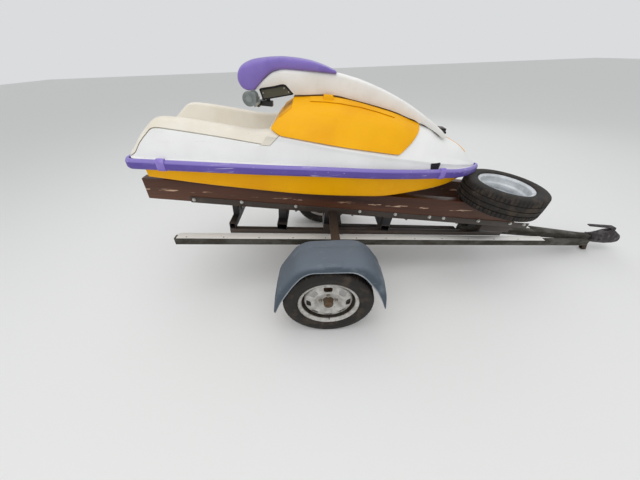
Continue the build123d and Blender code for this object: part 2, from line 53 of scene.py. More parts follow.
def at(x, y, z):
    """A move in millimetres."""
    return Matrix.Translation(Vector((x, y, z)) * MM)


def turned_by(degrees, axis):
    return Matrix.Rotation(radians(degrees), 4, axis)


def new_object(name, data):
    """An object at the origin that holds this data."""
    thing = bpy.data.objects.new(name, data)
    bpy.context.scene.collection.objects.link(thing)
    return thing


# The craft and the trailer frame each slope nose-down in their own working frame
AXLE_X = -0.753394
CRAFT_PITCH = radians(7.0)
AXLE = Matrix.Translation((AXLE_X, 0, 0))
CRAFT = AXLE @ at(-1109, 0, 1109) @ Matrix.Rotation(CRAFT_PITCH, 4, "Y")
TRAILER = AXLE @ at(0, 0, 473) @ turned_by(7.75, "Y")

# The camera stands where the photograph was taken from
EYE = (AXLE_X - 0.033, -1.617, 1.54)
LENS_MM = 13.05
PAN, LOOK_DOWN, ROLL = 0.3, 39.2, -2.3
camera = new_object("camera", bpy.data.cameras.new("camera"))
camera.data.sensor_width = 36
camera.data.lens = LENS_MM
camera.matrix_world = (
    Matrix.Translation(EYE) @ turned_by(PAN, "Z") @ turned_by(90 - LOOK_DOWN, "X") @ turned_by(ROLL, "Z")
)
bpy.context.scene.camera = camera


# Materials

def linear(hex_colour):
    """An sRGB hex colour as the linear values that a shader takes."""
    channels = [int(hex_colour[i:i + 2], 16) / 255 for i in (1, 3, 5)]
    return [c / 12.92 if c <= 0.04045 else ((c + 0.055) / 1.055) ** 2.4 for c in channels] + [1.0]


def feed(material, node, inputs):
    """Set a node's inputs, each to a value, a hex colour, or the socket that feeds it."""
    for key, value in inputs.items():
        if isinstance(value, bpy.types.NodeSocket):
            material.node_tree.links.new(value, node.inputs[key])
        else:
            node.inputs[key].default_value = linear(value) if isinstance(value, str) else value


def add(material, kind, inputs, **settings):
    """Add one node with its settings and what feeds it."""
    node = material.node_tree.nodes.new(kind)
    for name, value in settings.items():
        setattr(node, name, value)
    feed(material, node, inputs)
    return node


def new_material(name):
    """An empty material, and the place on the object that its patterns are laid by."""
    material = bpy.data.materials.new(name)
    material.use_nodes = True
    return material, add(material, "ShaderNodeTexCoord", {}).outputs["Object"]


def patches(material, place, across_mm, edge, stretch=(1, 1, 1), turn=(0, 0, 0), detail=5.0, rough=0.55):
    """Where a stain, chip or rub lies: clouds about across_mm wide, from 0 outside to 1 inside over edge."""
    laid = add(material, "ShaderNodeMapping", {0: place, "Rotation": turn, "Scale": [1 / s for s in stretch]})
    cloud = add(material, "ShaderNodeTexNoise", {
        "Vector": laid.outputs[0], "Scale": 1000 / across_mm, "Detail": detail, "Roughness": rough,
    })
    return add(material, "ShaderNodeMapRange", {0: cloud.outputs["Fac"], 1: edge[0], 2: edge[1]},
               interpolation_type="SMOOTHSTEP").outputs[0]


def worn_edges(material):
    """Where the form turns a sharp outer edge, which hands and straps rub first."""
    turn = add(material, "ShaderNodeNewGeometry", {}).outputs["Pointiness"]
    return add(material, "ShaderNodeMapRange", {0: turn, 1: 0.53, 2: 0.60},
               interpolation_type="SMOOTHSTEP").outputs[0]


def painted_top_light(material, low=0.25, high=0.55):
    """Where a face looks up: the mask for painted light, which paints faces that look up lighter than the sides."""
    facing = add(material, "ShaderNodeNewGeometry", {}).outputs["Normal"]
    upward = add(material, "ShaderNodeSeparateXYZ", {0: facing}).outputs[2]
    return add(material, "ShaderNodeMapRange", {0: upward, 1: low, 2: high}).outputs[0]


def dress(material, colour, layers, gloss, relief, depth_mm, strength=0.4, constants=None):
    """Finish a material. Each layer is where it lies, how dense it is there, and its colour; the roughness
    goes from low to high where the surface is worn; constants are the shader's own sockets."""
    for where, density, over in layers:
        cover = add(material, "ShaderNodeMath", {0: where, 1: density}, operation="MULTIPLY").outputs[0]
        colour = add(material, "ShaderNodeMix", {0: cover, 6: colour, 7: over}, data_type="RGBA").outputs[2]
    worn, low, high = gloss
    rough = add(material, "ShaderNodeMapRange", {0: worn, 3: low, 4: high}).outputs[0]
    raised = add(material, "ShaderNodeBump", {"Height": relief, "Strength": strength, "Distance": depth_mm * MM})
    feed(material, material.node_tree.nodes["Principled BSDF"], {
        "Base Color": colour, "Roughness": rough, "Normal": raised.outputs[0], "Specular IOR Level": 0.3,
        **(constants or {}),
    })
    return material


def gelcoat(name, colour, shaded, grime, grime_edge=(0.60, 0.86), roughness=0.32, coat=0.2, specular=0.5):
    """Polyester gelcoat from a mould: glossy, a little chalked, with speckled chips and drifts of dust."""
    material, place = new_material(name)
    drift = patches(material, place, 260, (0.35, 0.75))
    dust = patches(material, place, 240, grime_edge)
    chips = patches(material, place, 7, (0.735, 0.75), detail=2)
    scratches = patches(material, place, 22, (0.3, 0.8), stretch=(9, 1, 1), turn=(0, -CRAFT_PITCH, 0.2), detail=6)
    scored = patches(material, place, 5, (0.66, 0.70), stretch=(30, 1, 1), turn=(0.1, -CRAFT_PITCH, 0.15))
    layers = [(drift, 1.0, shaded), (dust, 0.55, grime), (scored, 0.22, grime), (chips, 0.65, grime)]
    return dress(material, colour, layers, (scratches, roughness, roughness + 0.22), drift, 1.2, 0.25,
                 {"Specular IOR Level": specular, "Coat Weight": coat, "Coat Roughness": 0.12})


# In metres: where the pole's lower line starts to fall forward, how fast, and how high its stain reaches
POLE_FALL_FROM = -0.95
POLE_FALL = 0.36
POLE_STAIN_TOP = 1.305


def stained_pole(name):
    """White gelcoat with the brown runs that rain leaves along the lower half of the pole."""
    material, place = new_material(name)
    drift = patches(material, place, 180, (0.4, 0.75))
    runs = patches(material, place, 60, (0.3, 0.8), stretch=(5, 1, 1), turn=(0, -CRAFT_PITCH, 0))
    axes = add(material, "ShaderNodeSeparateXYZ", {0: place}).outputs
    # The lower line is close to a parabola
    along = add(material, "ShaderNodeMath", {0: axes[0], 1: POLE_FALL_FROM}, operation="SUBTRACT").outputs[0]
    square = add(material, "ShaderNodeMath", {0: along, 1: along}, operation="MULTIPLY").outputs[0]
    level = add(material, "ShaderNodeMath", {0: square, 1: POLE_FALL, 2: axes[2]}, operation="MULTIPLY_ADD").outputs[0]
    ragged = add(material, "ShaderNodeMath", {0: runs, 1: 0.03, 2: level}, operation="MULTIPLY_ADD").outputs[0]
    stain = add(material, "ShaderNodeMapRange", {0: ragged, 1: POLE_STAIN_TOP, 2: POLE_STAIN_TOP - 0.05},
                interpolation_type="SMOOTHSTEP").outputs[0]
    return dress(material, "#e8e6e2", [(drift, 1.0, "#dad7d0"), (stain, 0.42, "#d0b08c")],
                 (drift, 0.30, 0.44), drift, 1.0, 0.2, {"Coat Weight": 0.2})


def vinyl_extrusion(name, colour, worn, scrape):
    """Extruded vinyl rail: satin, drawn along its length, painted paler on top as a painted highlight, with chalky
    scrapes where it rubbed.
    """
    material, place = new_material(name)
    along = {"stretch": (30, 3, 1), "turn": (0, -CRAFT_PITCH, 0)}
    lines = patches(material, place, 9, (0.3, 0.7), **along)
    faded = patches(material, place, 150, (0.4, 0.7), detail=4)
    # Rubs lie along the rail, and only in some stretches of it
    streaks = patches(material, place, 9, (0.58, 0.66), **along)
    stretches = patches(material, place, 150, (0.50, 0.64), detail=4)
    rubs = add(material, "ShaderNodeMath", {0: streaks, 1: stretches}, operation="MULTIPLY").outputs[0]
    nicks = patches(material, place, 12, (0.69, 0.71), stretch=(2.5, 2.5, 1), detail=3)
    # The paler lilac on faces that look up is a painted highlight, not bleaching.
    layers = [(faded, 1.0, worn), (painted_top_light(material), 0.8, "#8d7fc4"), (rubs, 0.75, scrape), (nicks, 0.6, scrape),
              (worn_edges(material), 0.35, scrape)]
    return dress(material, colour, layers, (rubs, 0.36, 0.6), lines, 0.6, 0.3)


def pad_vinyl(name):
    """Coated upholstery vinyl over foam: a fine pebbled grain with a soft sheen, paler where it is rubbed."""
    material, place = new_material(name)
    grain = add(material, "ShaderNodeTexVoronoi", {"Vector": place, "Scale": 1000 / 4.5}).outputs["Distance"]
    drift = patches(material, place, 120, (0.35, 0.7), detail=4)
    rubbed = patches(material, place, 90, (0.60, 0.80))
    return dress(material, "#7f6bb6", [(drift, 1.0, "#7260ab"), (rubbed, 0.8, "#9183bd")],
                 (rubbed, 0.42, 0.6), grain, 0.5, 0.35, {"Sheen Weight": 0.15})


def painted_steel(name, colour, rust, rust_from, roughness, bare="#6b5a4e"):
    """Brush-painted mild steel: uneven gloss, with rust that blooms through in spots and along edges."""
    material, place = new_material(name)
    brushed = patches(material, place, 14, (0.3, 0.7), stretch=(10, 10, 1), detail=4)
    rusty = patches(material, place, 26, (rust_from, rust_from + 0.06), detail=7, rough=0.65)
    dusty = patches(material, place, 110, (0.52, 0.80))
    layers = [(dusty, 0.30, bare), (rusty, 1.0, rust), (worn_edges(material), 0.45, bare)]
    return dress(material, colour, layers, (rusty, roughness, 0.85), brushed, 0.4, 0.3)


def galvanised(name, colour, pale, moss, moss_edge, metallic):
    """Hot-dip zinc on steel: crystal spangle gone dull grey, with dirt and moss dried on it."""
    material, place = new_material(name)
    spangle = add(material, "ShaderNodeTexVoronoi", {"Vector": place, "Scale": 1000 / 14}).outputs["Color"]
    crystal = add(material, "ShaderNodeSeparateColor", {0: spangle}).outputs[0]
    grown = patches(material, place, 70, moss_edge, stretch=(2.5, 2.5, 1), detail=7, rough=0.65)
    specks = patches(material, place, 9, (0.66, 0.72), detail=4)
    layers = [(crystal, 0.5, pale), (grown, 0.85, moss), (specks, 0.8, "#8f8c80"), (worn_edges(material), 0.35, pale)]
    return dress(material, colour, layers, (grown, 0.5, 0.88), grown, 1.0, constants={"Metallic": metallic})


# How high, in metres, the line of chips along the timber lies below the axle
BUNK_CHIP_Z = 0.635


def timber(name):
    """Stained softwood bunk: dark red-brown film over long grain, split and chipped to bare wood."""
    material, place = new_material(name)
    along = (0, -CRAFT_PITCH, 0)
    grain = patches(material, place, 12, (0.35, 0.7), stretch=(34, 2, 1), turn=along, detail=6, rough=0.65)
    broad = patches(material, place, 90, (0.5, 0.8), stretch=(8, 1, 1), turn=along, detail=3)
    splinters = patches(material, place, 14, (0.585, 0.62), stretch=(9, 1, 1), turn=along)
    # The chips follow one line half way up the timber, which falls forward with the craft
    level = add(material, "ShaderNodeVectorRotate", {0: place, "Angle": -CRAFT_PITCH}, rotation_type="Y_AXIS")
    height = add(material, "ShaderNodeSeparateXYZ", {0: level.outputs[0]}).outputs[2]
    above = add(material, "ShaderNodeMath", {0: height, 1: BUNK_CHIP_Z}, operation="SUBTRACT").outputs[0]
    off_line = add(material, "ShaderNodeMath", {0: above}, operation="ABSOLUTE").outputs[0]
    near_line = add(material, "ShaderNodeMapRange", {0: off_line, 1: 0.010, 2: 0.003},
                    interpolation_type="SMOOTHSTEP").outputs[0]
    layers = [(grain, 1.0, "#3a1b11"), (broad, 0.5, "#522b1c"), (worn_edges(material), 0.5, "#8a5b40"),
              (splinters, near_line, "#c8a78c")]
    return dress(material, "#24100a", layers, (broad, 0.38, 0.55), grain, 1.6, 0.5)


def tyre_rubber(name, colour, dust, dust_from=0.5):
    """Carbon-black rubber, greyed by age, with road dust in the ribbed bands."""
    material, place = new_material(name)
    film = patches(material, place, 60, (dust_from, dust_from + 0.25), detail=6, rough=0.6)
    crazed = patches(material, place, 5, (0.3, 0.8), detail=3)
    return dress(material, colour, [(film, 1.0, dust), (worn_edges(material), 0.4, dust)],
                 (film, 0.68, 0.9), crazed, 0.5, 0.35)


def wheel_paint(name, colour, shaded, rust, rust_from=0.6):
    """Silver stoved paint on pressed steel, freckled with rust where stones have hit it."""
    material, place = new_material(name)
    film = patches(material, place, 40, (0.35, 0.7))
    rusty = patches(material, place, 13, (rust_from, rust_from + 0.05), detail=7, rough=0.7)
    return dress(material, colour, [(film, 1.0, shaded), (rusty, 1.0, rust), (worn_edges(material), 0.5, rust)],
                 (rusty, 0.5, 0.9), rusty, 0.5, 0.5, {"Metallic": 0.3})


def moulded_plastic(name, colour, pale, pale_from=0.5, roughness=0.6, grain_mm=3.0, above=None):
    """Injection-moulded plastic: fine mould grain, with bleached and dusty patches, and faces that look up painted in
    a lighter top colour as painted light.
    """
    material, place = new_material(name)
    bleached = patches(material, place, 130, (pale_from, pale_from + 0.22), stretch=(1, 1, 1.6))
    streaks = patches(material, place, 18, (0.58, 0.75), stretch=(4, 1, 1))
    grain = patches(material, place, grain_mm, (0.3, 0.7), detail=2)
    # Faces that look up take the top colour, where one is given: painted light, lighter on top than on the sides.
    layers = [(painted_top_light(material, 0.1, 0.9), 1.0, above or colour), (bleached, 1.0, pale), (streaks, 0.5, pale),
              (worn_edges(material), 0.5, pale)]
    return dress(material, colour, layers, (bleached, roughness, min(1, roughness + 0.12)), grain, 0.4)


def cast_metal(name, colour, pale, roughness=0.6, metallic=0.5):
    """Cast or pressed metal gone dull: a sand-like skin with paler rubbed places."""
    material, place = new_material(name)
    sand = patches(material, place, 5, (0.3, 0.7), detail=4)
    rubbed = patches(material, place, 45, (0.48, 0.7), detail=6, rough=0.65)
    return dress(material, colour, [(rubbed, 1.0, pale), (worn_edges(material), 0.6, pale)],
                 (rubbed, roughness, max(0.2, roughness - 0.15)), sand, 0.6, 0.45, {"Metallic": metallic})


def capped_sheet(name):
    """White coated steel sheet: smooth and bright, spotted with grime and rust at its rivets."""
    material, place = new_material(name)
    drift = patches(material, place, 190, (0.4, 0.75), stretch=(3, 1, 1), detail=4)
    spots = patches(material, place, 20, (0.66, 0.70), detail=6, rough=0.7)
    film = patches(material, place, 60, (0.55, 0.75), stretch=(4, 1, 1))
    layers = [(drift, 1.0, "#f1f0ea"), (film, 0.25, "#b7b1a1"), (spots, 1.0, "#6b5a49"),
              (worn_edges(material), 0.4, "#8c8272")]
    return dress(material, "#fbfaf7", layers, (film, 0.34, 0.6), drift, 0.8, 0.2)


FINISHES = {
    "hull_gelcoat_yellow": gelcoat("hull_gelcoat", "#f5b000", "#eba200", "#b98b3a", (0.70, 0.88), 0.40, 0.0, 0.15),
    "deck_gelcoat_white": gelcoat("deck_gelcoat", "#ececea", "#e4e4e1", "#b1aa9d", (0.74, 0.92)),
    "tray_gelcoat_cream": gelcoat("tray_gelcoat", "#e6e0d3", "#dcd4c4", "#aa9f8a", (0.60, 0.86), 0.5, 0.0, 0.3),
    "hood_gelcoat_yellow": gelcoat("hood_gelcoat", "#f0ae00", "#e7a100", "#c79a4a", (0.76, 0.92), 0.38, 0.0, 0.2),
    "hood_lip": gelcoat("hood_lip_gelcoat", "#dc9c24", "#b67c2a", "#8a6338", (0.50, 0.74), 0.5, 0.0, 0.2),
    "bumper_vinyl_purple": vinyl_extrusion("bumper_vinyl", "#5d4c9a", "#6655a4", "#c9c2da"),
    "clip_plastic_lilac": moulded_plastic("clip_plastic", "#8a76c6", "#a292d4", 0.55, 0.45),
    "pole_gelcoat_white": stained_pole("pole_gelcoat"),
    "pad_vinyl_purple": pad_vinyl("pad_vinyl"),
    "black_bracket": painted_steel("bracket_black", "#191a1c", "#3b2a20", 0.66, 0.5),
    "bar_steel": painted_steel("bar_coating", "#2c2e2f", "#4a3a2e", 0.68, 0.4),
    "grip_rubber": moulded_plastic("grip_rubber", "#3d4242", "#6a7070", 0.6, 0.7),
    "grey_plastic": moulded_plastic("lever_plastic", "#7f8684", "#a4aaa8", 0.5, 0.5),
    "engine_aluminium": cast_metal("engine_casting", "#77797b", "#9a9c9e"),
    "pump_aluminium": cast_metal("pump_casting", "#8d9093", "#b3b6b8", 0.5, 0.7),
    "impeller_steel": cast_metal("impeller_steel", "#9da0a2", "#c4c7c9", 0.32, 0.9),
    "nozzle_plastic": moulded_plastic("nozzle_plastic", "#1c1d1f", "#3a3c3e", 0.6, 0.45),
    "galvanised_steel": galvanised("rail_zinc", "#3d3a33", "#55524a", "#2a251b", (0.44, 0.60), 0.15),
    "strip_painted_white": capped_sheet("strip_sheet"),
    "coupling_steel": cast_metal("coupling_steel", "#413c3e", "#6d686a", 0.62, 0.55),
    "rusty_steel": painted_steel("foot_steel", "#332620", "#4c2f20", 0.48, 0.75),
    "black_steel": painted_steel("frame_paint", "#161719", "#4b3326", 0.69, 0.38),
    "bunk_timber": timber("bunk_timber"),
    "tyre": tyre_rubber("tyre_rubber", "#221f1d", "#463d34", 0.47),
    "wheel_steel": wheel_paint("wheel_paint", "#c4c2be", "#a5a19a", "#6a442d", 0.62),
    # The mudguard's last colour is painted light: its up-facing faces are lighter and its sides darker.
    "mudguard_plastic": moulded_plastic("mudguard_plastic", "#47515b", "#737b83", 0.54, 0.70, 3.0, "#626b75"),
    # The barrel's dark paint is dirt, and also painted shade for the inside of the rim seen through the windows and
    # between lip and disc.
    "barrel_dirt_and_shade": wheel_paint("barrel_paint", "#4a453e", "#332e28", "#4a3020", 0.58),
    "spare_silver": wheel_paint("spare_paint", "#ccd0d3", "#b9bdc0", "#8f7d6c", 0.68),
    "hub_rust": painted_steel("hub_steel", "#564a3a", "#5f4029", 0.54, 0.7),
    "nut_steel": cast_metal("nut_steel", "#8a847b", "#b3ada4", 0.45, 0.6),
    # A pale finish for the mudguard's rolled lip: a painted highlight where the edge catches the light.
    "guard_lip_highlight": moulded_plastic("guard_lip_highlight", "#838b93", "#a3a9ae", 0.5, 0.7),
    "zinc_bolt": cast_metal("zinc_bolt", "#b4b3ae", "#d2d1cc", 0.4, 0.6),
    "black_tape": moulded_plastic("black_tape", "#1b1b1c", "#3a3a3b", 0.6, 0.5),
    "head_olive": moulded_plastic("head_casing", "#3c3d35", "#6b6a5c", 0.5, 0.75, 9.0),
    "grip_grey": moulded_plastic("grip_face", "#6c7270", "#8f9592", 0.5, 0.7),
}

for node, slot in slots.items():
    nodes[node].data.materials.clear()
    nodes[node].data.materials.append(FINISHES[slot])


# Forming the pieces

def clear():
    bpy.ops.object.select_all(action="DESELECT")


def take(*pieces):
    """Select these pieces alone, with the first one active."""
    clear()
    for piece in pieces:
        piece.select_set(True)
    bpy.context.view_layer.objects.active = pieces[0]


def join(*pieces):
    """Make the first piece hold the others too."""
    take(*pieces)
    bpy.ops.object.join()
    return pieces[0]


def primitive(operator, **settings):
    """Add a primitive by itself, with its place in its mesh."""
    clear()
    operator(**settings)
    bpy.ops.object.transform_apply(location=True, rotation=True, scale=True)
    return bpy.context.object


def edit(piece, *steps):
    """Run edit-mode operators, each given as (operator, settings), on the whole piece."""
    take(piece)
    bpy.ops.object.mode_set(mode="EDIT")
    bpy.ops.mesh.select_all(action="SELECT")
    for operator, settings in steps:
        operator(**settings)
    bpy.ops.object.mode_set(mode="OBJECT")
    return piece


def modify(piece, kind, **settings):
    """Add one modifier and apply it."""
    take(piece)
    modifier = piece.modifiers.new(kind.lower(), kind)
    for name, value in settings.items():
        setattr(modifier, name, value)
    bpy.ops.object.modifier_apply(modifier=modifier.name)
    return piece


def cut(piece, *cutters, operation="DIFFERENCE"):
    """Boolean a piece with others, which are then thrown away."""
    for cutter in cutters:
        modify(piece, "BOOLEAN", operation=operation, solver="EXACT", object=cutter)
        bpy.data.objects.remove(cutter)
    return piece


def shared(piece, cutter):
    """What of a piece lies inside a cutter."""
    return cut(piece, cutter, operation="INTERSECT")


def outward(piece):
    return edit(piece, (bpy.ops.mesh.remove_doubles, {"threshold": WELD}),
                (bpy.ops.mesh.normals_make_consistent, {"inside": False}))


def broken_edges(piece, width, segments=2, angle=32):
    """Break the sharp edges by a small bevel."""
    return modify(piece, "BEVEL", width=width * MM, segments=segments, limit_method="ANGLE",
                  angle_limit=radians(angle), use_clamp_overlap=True)


def settle(piece, name, place, slot, body="craft_and_trailer", stands_for=(), angle=35, finish=None):
    """Put a finished piece in its place in the row's frame, with its finish, body and CAD nodes."""
    piece.name = piece.data.name = name
    piece.data.transform(place)
    piece.data.materials.clear()
    piece.data.materials.append(FINISHES[finish or slot])
    take(piece)
    bpy.ops.object.shade_smooth_by_angle(angle=radians(angle))
    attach(piece, body)
    if stands_for:
        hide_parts(*stands_for)
    return piece


def skin(rings, closed=True, caps="pairs"):
    """A grid laid over rings of (x, y, z) points; a closed ring's halves mirror each other."""
    count = len(rings[0])
    across = count + 1 if closed else count
    piece = primitive(bpy.ops.mesh.primitive_grid_add, x_subdivisions=across - 1, y_subdivisions=len(rings) - 1)
    for index, vertex in enumerate(piece.data.vertices):
        ring, spot = divmod(index, across)
        vertex.co = Vector(rings[ring][spot % count]) * MM
    if closed and caps:
        mesh = bmesh.new()
        mesh.from_mesh(piece.data)
        mesh.verts.ensure_lookup_table()
        for ring in (0, len(rings) - 1):
            row = mesh.verts[ring * across:ring * across + count]
            if caps == "pairs":
                for spot in range(count // 2 - 1):
                    mesh.faces.new((row[spot], row[spot + 1], row[count - 2 - spot], row[count - 1 - spot]))
            else:
                mesh.faces.new(row)
        mesh.to_mesh(piece.data)
        mesh.free()
    return outward(piece)


def slab(outline, low, high):
    """An (x, z) outline carried from y = low to y = high."""
    return skin([[(x, y, z) for x, z in outline] for y in (low, high)], caps="face")


def through(outline):
    """An (x, z) outline carried right across the craft."""
    return slab(outline, -400, 400)


def block(x0, x1, z0, z1, half):
    """A plain cutter, as wide to port as to starboard."""
    return slab([(x0, z0), (x1, z0), (x1, z1), (x0, z1)], -half, half)


def round_bar(x, radius, low, high, steps=32):
    """An upright round on the middle line, from z = low to z = high."""
    return skin([[(x + radius * cos(t), radius * sin(t), z) for t in spaced(0, 2 * pi, steps + 1)[:-1]]
                 for z in (low, high)], caps="face")


def moved(piece, place):
    """Move, turn or scale a piece within its mesh."""
    piece.data.transform(place)
    return piece


def side_slabs(outline, near, far):
    """The same slab to starboard and to port, from near to far out."""
    return [slab(outline, *sorted((side * near, side * far))) for side in SIDES.values()]


def in_pairs(make, spots):
    """Make a small part at every (x, out, z), to starboard and turned round to port, as one piece."""
    return join(*(
        moved(make(), at(x, side * out, z) @ turned_by(90 + 90 * side, "Z"))
        for x, out, z in spots for side in SIDES.values()
    ))


def rounded(points, radii, steps=5, mirrored=False):
    """Replace corners by soft rounds; a mirrored half rounds its last corner towards its own mirror image."""
    soft = [tuple(points[0])]
    for i in range(1, len(points) - (0 if mirrored else 1)):
        corner = Vector(points[i])
        before = Vector(points[i - 1])
        after = Vector(points[i + 1]) if i + 1 < len(points) else Vector((-points[i][0], points[i][1]))
        reach = min(radii[i], 0.48 * (before - corner).length, 0.48 * (after - corner).length)
        start = corner + (before - corner).normalized() * reach
        end = corner + (after - corner).normalized() * reach
        for step in range(steps + 1):
            t = step / steps
            soft.append(tuple(start * (1 - t) ** 2 + corner * 2 * t * (1 - t) + end * t * t))
    if not mirrored:
        soft.append(tuple(points[-1]))
    return soft


def closed_round(points, radius, steps=4):
    """Round every corner of a closed outline."""
    ring = [points[-1], *points, points[0]]
    return rounded(ring, [radius] * len(ring), steps)[1:-1]


def between(rows, x):
    """Read a table of stations at x, along a smooth curve through them that doesn't overshoot."""
    x = min(max(x, rows[0][0]), rows[-1][0])
    i = max(k for k in range(len(rows) - 1) if rows[k][0] <= x)
    near, far = rows[i], rows[i + 1]
    span = far[0] - near[0]
    t = (x - near[0]) / span

    def slope(j, k):
        return (rows[j + 1][k] - rows[j][k]) / (rows[j + 1][0] - rows[j][0])

    def lean(j, k):
        if j in (0, len(rows) - 1):
            return slope(i, k)
        before, after = slope(j - 1, k), slope(j, k)
        return 0 if before * after <= 0 else 2 * before * after / (before + after)

    return [
        near[k] * (2 * t ** 3 - 3 * t ** 2 + 1) + far[k] * (3 * t ** 2 - 2 * t ** 3)
        + span * (lean(i, k) * (t ** 3 - 2 * t ** 2 + t) + lean(i + 1, k) * (t ** 3 - t ** 2))
        for k in range(1, len(near))
    ]


def pairs(flat):
    return list(zip(flat[::2], flat[1::2]))


def both_sides(half, x):
    """A ring across the craft from its starboard half; x is one number, or one for each point."""
    along = x if isinstance(x, list) else [x] * len(half)
    ring = [(a, -y, z) for a, (y, z) in zip(along, half)]
    return ring + [(a, y, z) for a, (y, z) in reversed(list(zip(along, half)))]


def spaced(low, high, count):
    return [low + (high - low) * i / (count - 1) for i in range(count)]


# The bond line where hull and deck meet, and the craft's forms, in its own frame

def sheer(x):
    u = (x - 1130) / 1210
    return 34 + 15.5 * u - 31.5 * u * u


def at_sheer(upper, lower, x):
    """Where a side's line crosses the bond line."""
    t = (sheer(x) - lower[1]) / (upper[1] - lower[1])
    return (lower[0] + (upper[0] - lower[0]) * t, sheer(x))


# x, then y and z of base, crease, hood edge, shoulder and crown
FORE = [
    (640, 314, -40, 281, 180, 262, 214, 168, 290, 66, 322),
    (770, 314, -40, 281, 180, 262, 214, 168, 290, 66, 322),
    (1120, 315, -40, 288, 150, 268, 178, 172, 310, 66, 354),
    (1480, 282, -40, 262, 116, 244, 148, 158, 276, 60, 312),
    (1680, 248, -40, 226, 98, 204, 132, 122, 230, 50, 264),
    (1770, 226, -40, 204, 88, 178, 122, 106, 208, 44, 247),
    (1850, 202, -40, 180, 78, 150, 112, 90, 178, 37, 211),
    (1910, 180, -40, 156, 72, 126, 102, 76, 160, 32, 199),
    (2000, 146, -40, 124, 62, 96, 86, 58, 140, 25, 169),
    (2070, 110, -40, 92, 56, 72, 72, 44, 110, 20, 132),
    (2130, 76, -40, 60, 48, 46, 58, 30, 74, 14, 88),
    (2196, 18, -40, 15, 33, 12, 42, 8, 48, 4, 51),
]
FORE_SOFTNESS = (0, 8, 3, 12, 60, 10)
BULKHEAD = [(-60, 656), (0, 656), (60, 700), (205, 806), (262, 856), (309, 916), (600, 922)]


def reading(table, z):
    """A broken line's value at z."""
    for (z0, x0), (z1, x1) in zip(table, table[1:]):
        if z <= z1:
            return x0 + (x1 - x0) * (z - z0) / (z1 - z0)
    return table[-1][1]


def fore_half(x, proud=0):
    """The starboard half of the fore form at x, held proud of it by a few millimetres."""
    corners = pairs(between(FORE, x))
    (base_y, base_z), (crease_y, crease_z) = corners[:2]
    base = at_sheer(corners[1], corners[0], x)
    # Below the crease the side steps in a little, so that the crease stands as a ridge
    step = min(20, (crease_z - sheer(x)) * 0.4)
    below = (crease_y + (base_y - crease_y) * step / (crease_z - base_z) - 1.5, crease_z - step)
    ridge = min(3.5, crease_y / 40)
    lift = [(0, 0), (1, 0.5), (1, 0.5), (1, 0.5), (0.7, 0.8), (0, 1)]
    corners = [base, below, (crease_y + ridge, crease_z - 1), *corners[2:]]
    corners = [(max(y + proud * a, 1), z + proud * b) for (y, z), (a, b) in zip(corners, lift)]
    narrow = min(1, corners[1][0] / 200)
    return rounded(corners, [r * narrow for r in FORE_SOFTNESS], 5, mirrored=True)


def fore_skin(proud, low, high, count, slanted=False):
    """The closed fore form; a slanted one starts on the line of the bulkhead."""
    rings, starts = [], []
    for spot in range(len(fore_half(low))):
        start = low
        for _ in range(6 if slanted else 0):
            start = reading(BULKHEAD, fore_half(start, proud)[spot][1])
        starts.append(start)
    for share in spaced(0, 1, count):
        along = [start + (high - start) * share for start in starts]
        half = [fore_half(x, proud)[spot] for spot, x in enumerate(along)]
        rings.append(both_sides(half, along))
    return skin(rings)


HOOD_EDGE = [
    (804, 217), (858, 189), (1200, 158), (1552, 131), (1630, 188), (1684, 244), (1704, 298),
    (1704, 480), (916, 480), (914, 338), (911, 311), (852, 266),
]


def widened(outline, by):
    """An outline moved out from its middle by a few millimetres on every side."""
    grown = []
    for i, point in enumerate(outline):
        before, after = Vector(outline[i - 1]), Vector(outline[(i + 1) % len(outline)])
        along = (after - before).normalized()
        grown.append(tuple(Vector(point) + Vector((along.y, -along.x)) * by))
    return grown


# The seam that parts the white deck from the cream liner runs up to the hood's lower aft corner
CORNER = [(600, 131), (802, 131), (862, 196), (870, 262), (940, 310), (940, 420), (600, 420)]
HOOD_LIP = [(847, 270), (851, 264), (912, 308), (908, 315)]

HOOD_BORDER = [(1010, 340), (1100, 345), (1181, 344), (1300, 335), (1420, 317), (1512, 300), (1524, 322),
               (1524, 480), (1010, 480)]


def hood_and_deck():
    hood = outward(shared(fore_skin(9, 780, 1740, 60), through(closed_round(HOOD_EDGE, 12))))
    settle(broken_edges(hood, 4, 3, 50), "hood_cover", CRAFT, "hood_gelcoat_yellow", stands_for=["hood"])
    lip = outward(shared(fore_skin(11, 780, 1000, 24), through(HOOD_LIP)))
    settle(broken_edges(lip, 1.5, 2, 50), "hood_rear_lip", CRAFT, "hood_gelcoat_yellow", finish="hood_lip")
    # A raised border beside the pole, from the rear edge to a small step near the front
    border = cut(shared(fore_skin(13.5, 900, 1560, 50), through(HOOD_BORDER)), block(800, 1700, 100, 500, 72))
    settle(broken_edges(outward(border), 2.5, 2, 40), "hood_border", CRAFT, "hood_gelcoat_yellow", angle=50)
    deck = fore_skin(0, 700, 2196, 90, slanted=True)
    # The hood sits in a recess, which leaves a dark line round it
    cut(deck, cut(through(closed_round(widened(HOOD_EDGE, 7), 18)), fore_skin(-7, 700, 1780, 60)))
    corner = shared(new_object("tray_corner", deck.data.copy()), through(CORNER))
    settle(outward(corner), "tray_corner", CRAFT, "tray_gelcoat_cream")
    cut(deck, through(widened(CORNER, 2.5)))
    settle(outward(deck), "deck_fore", CRAFT, "deck_gelcoat_white", stands_for=["deck"])


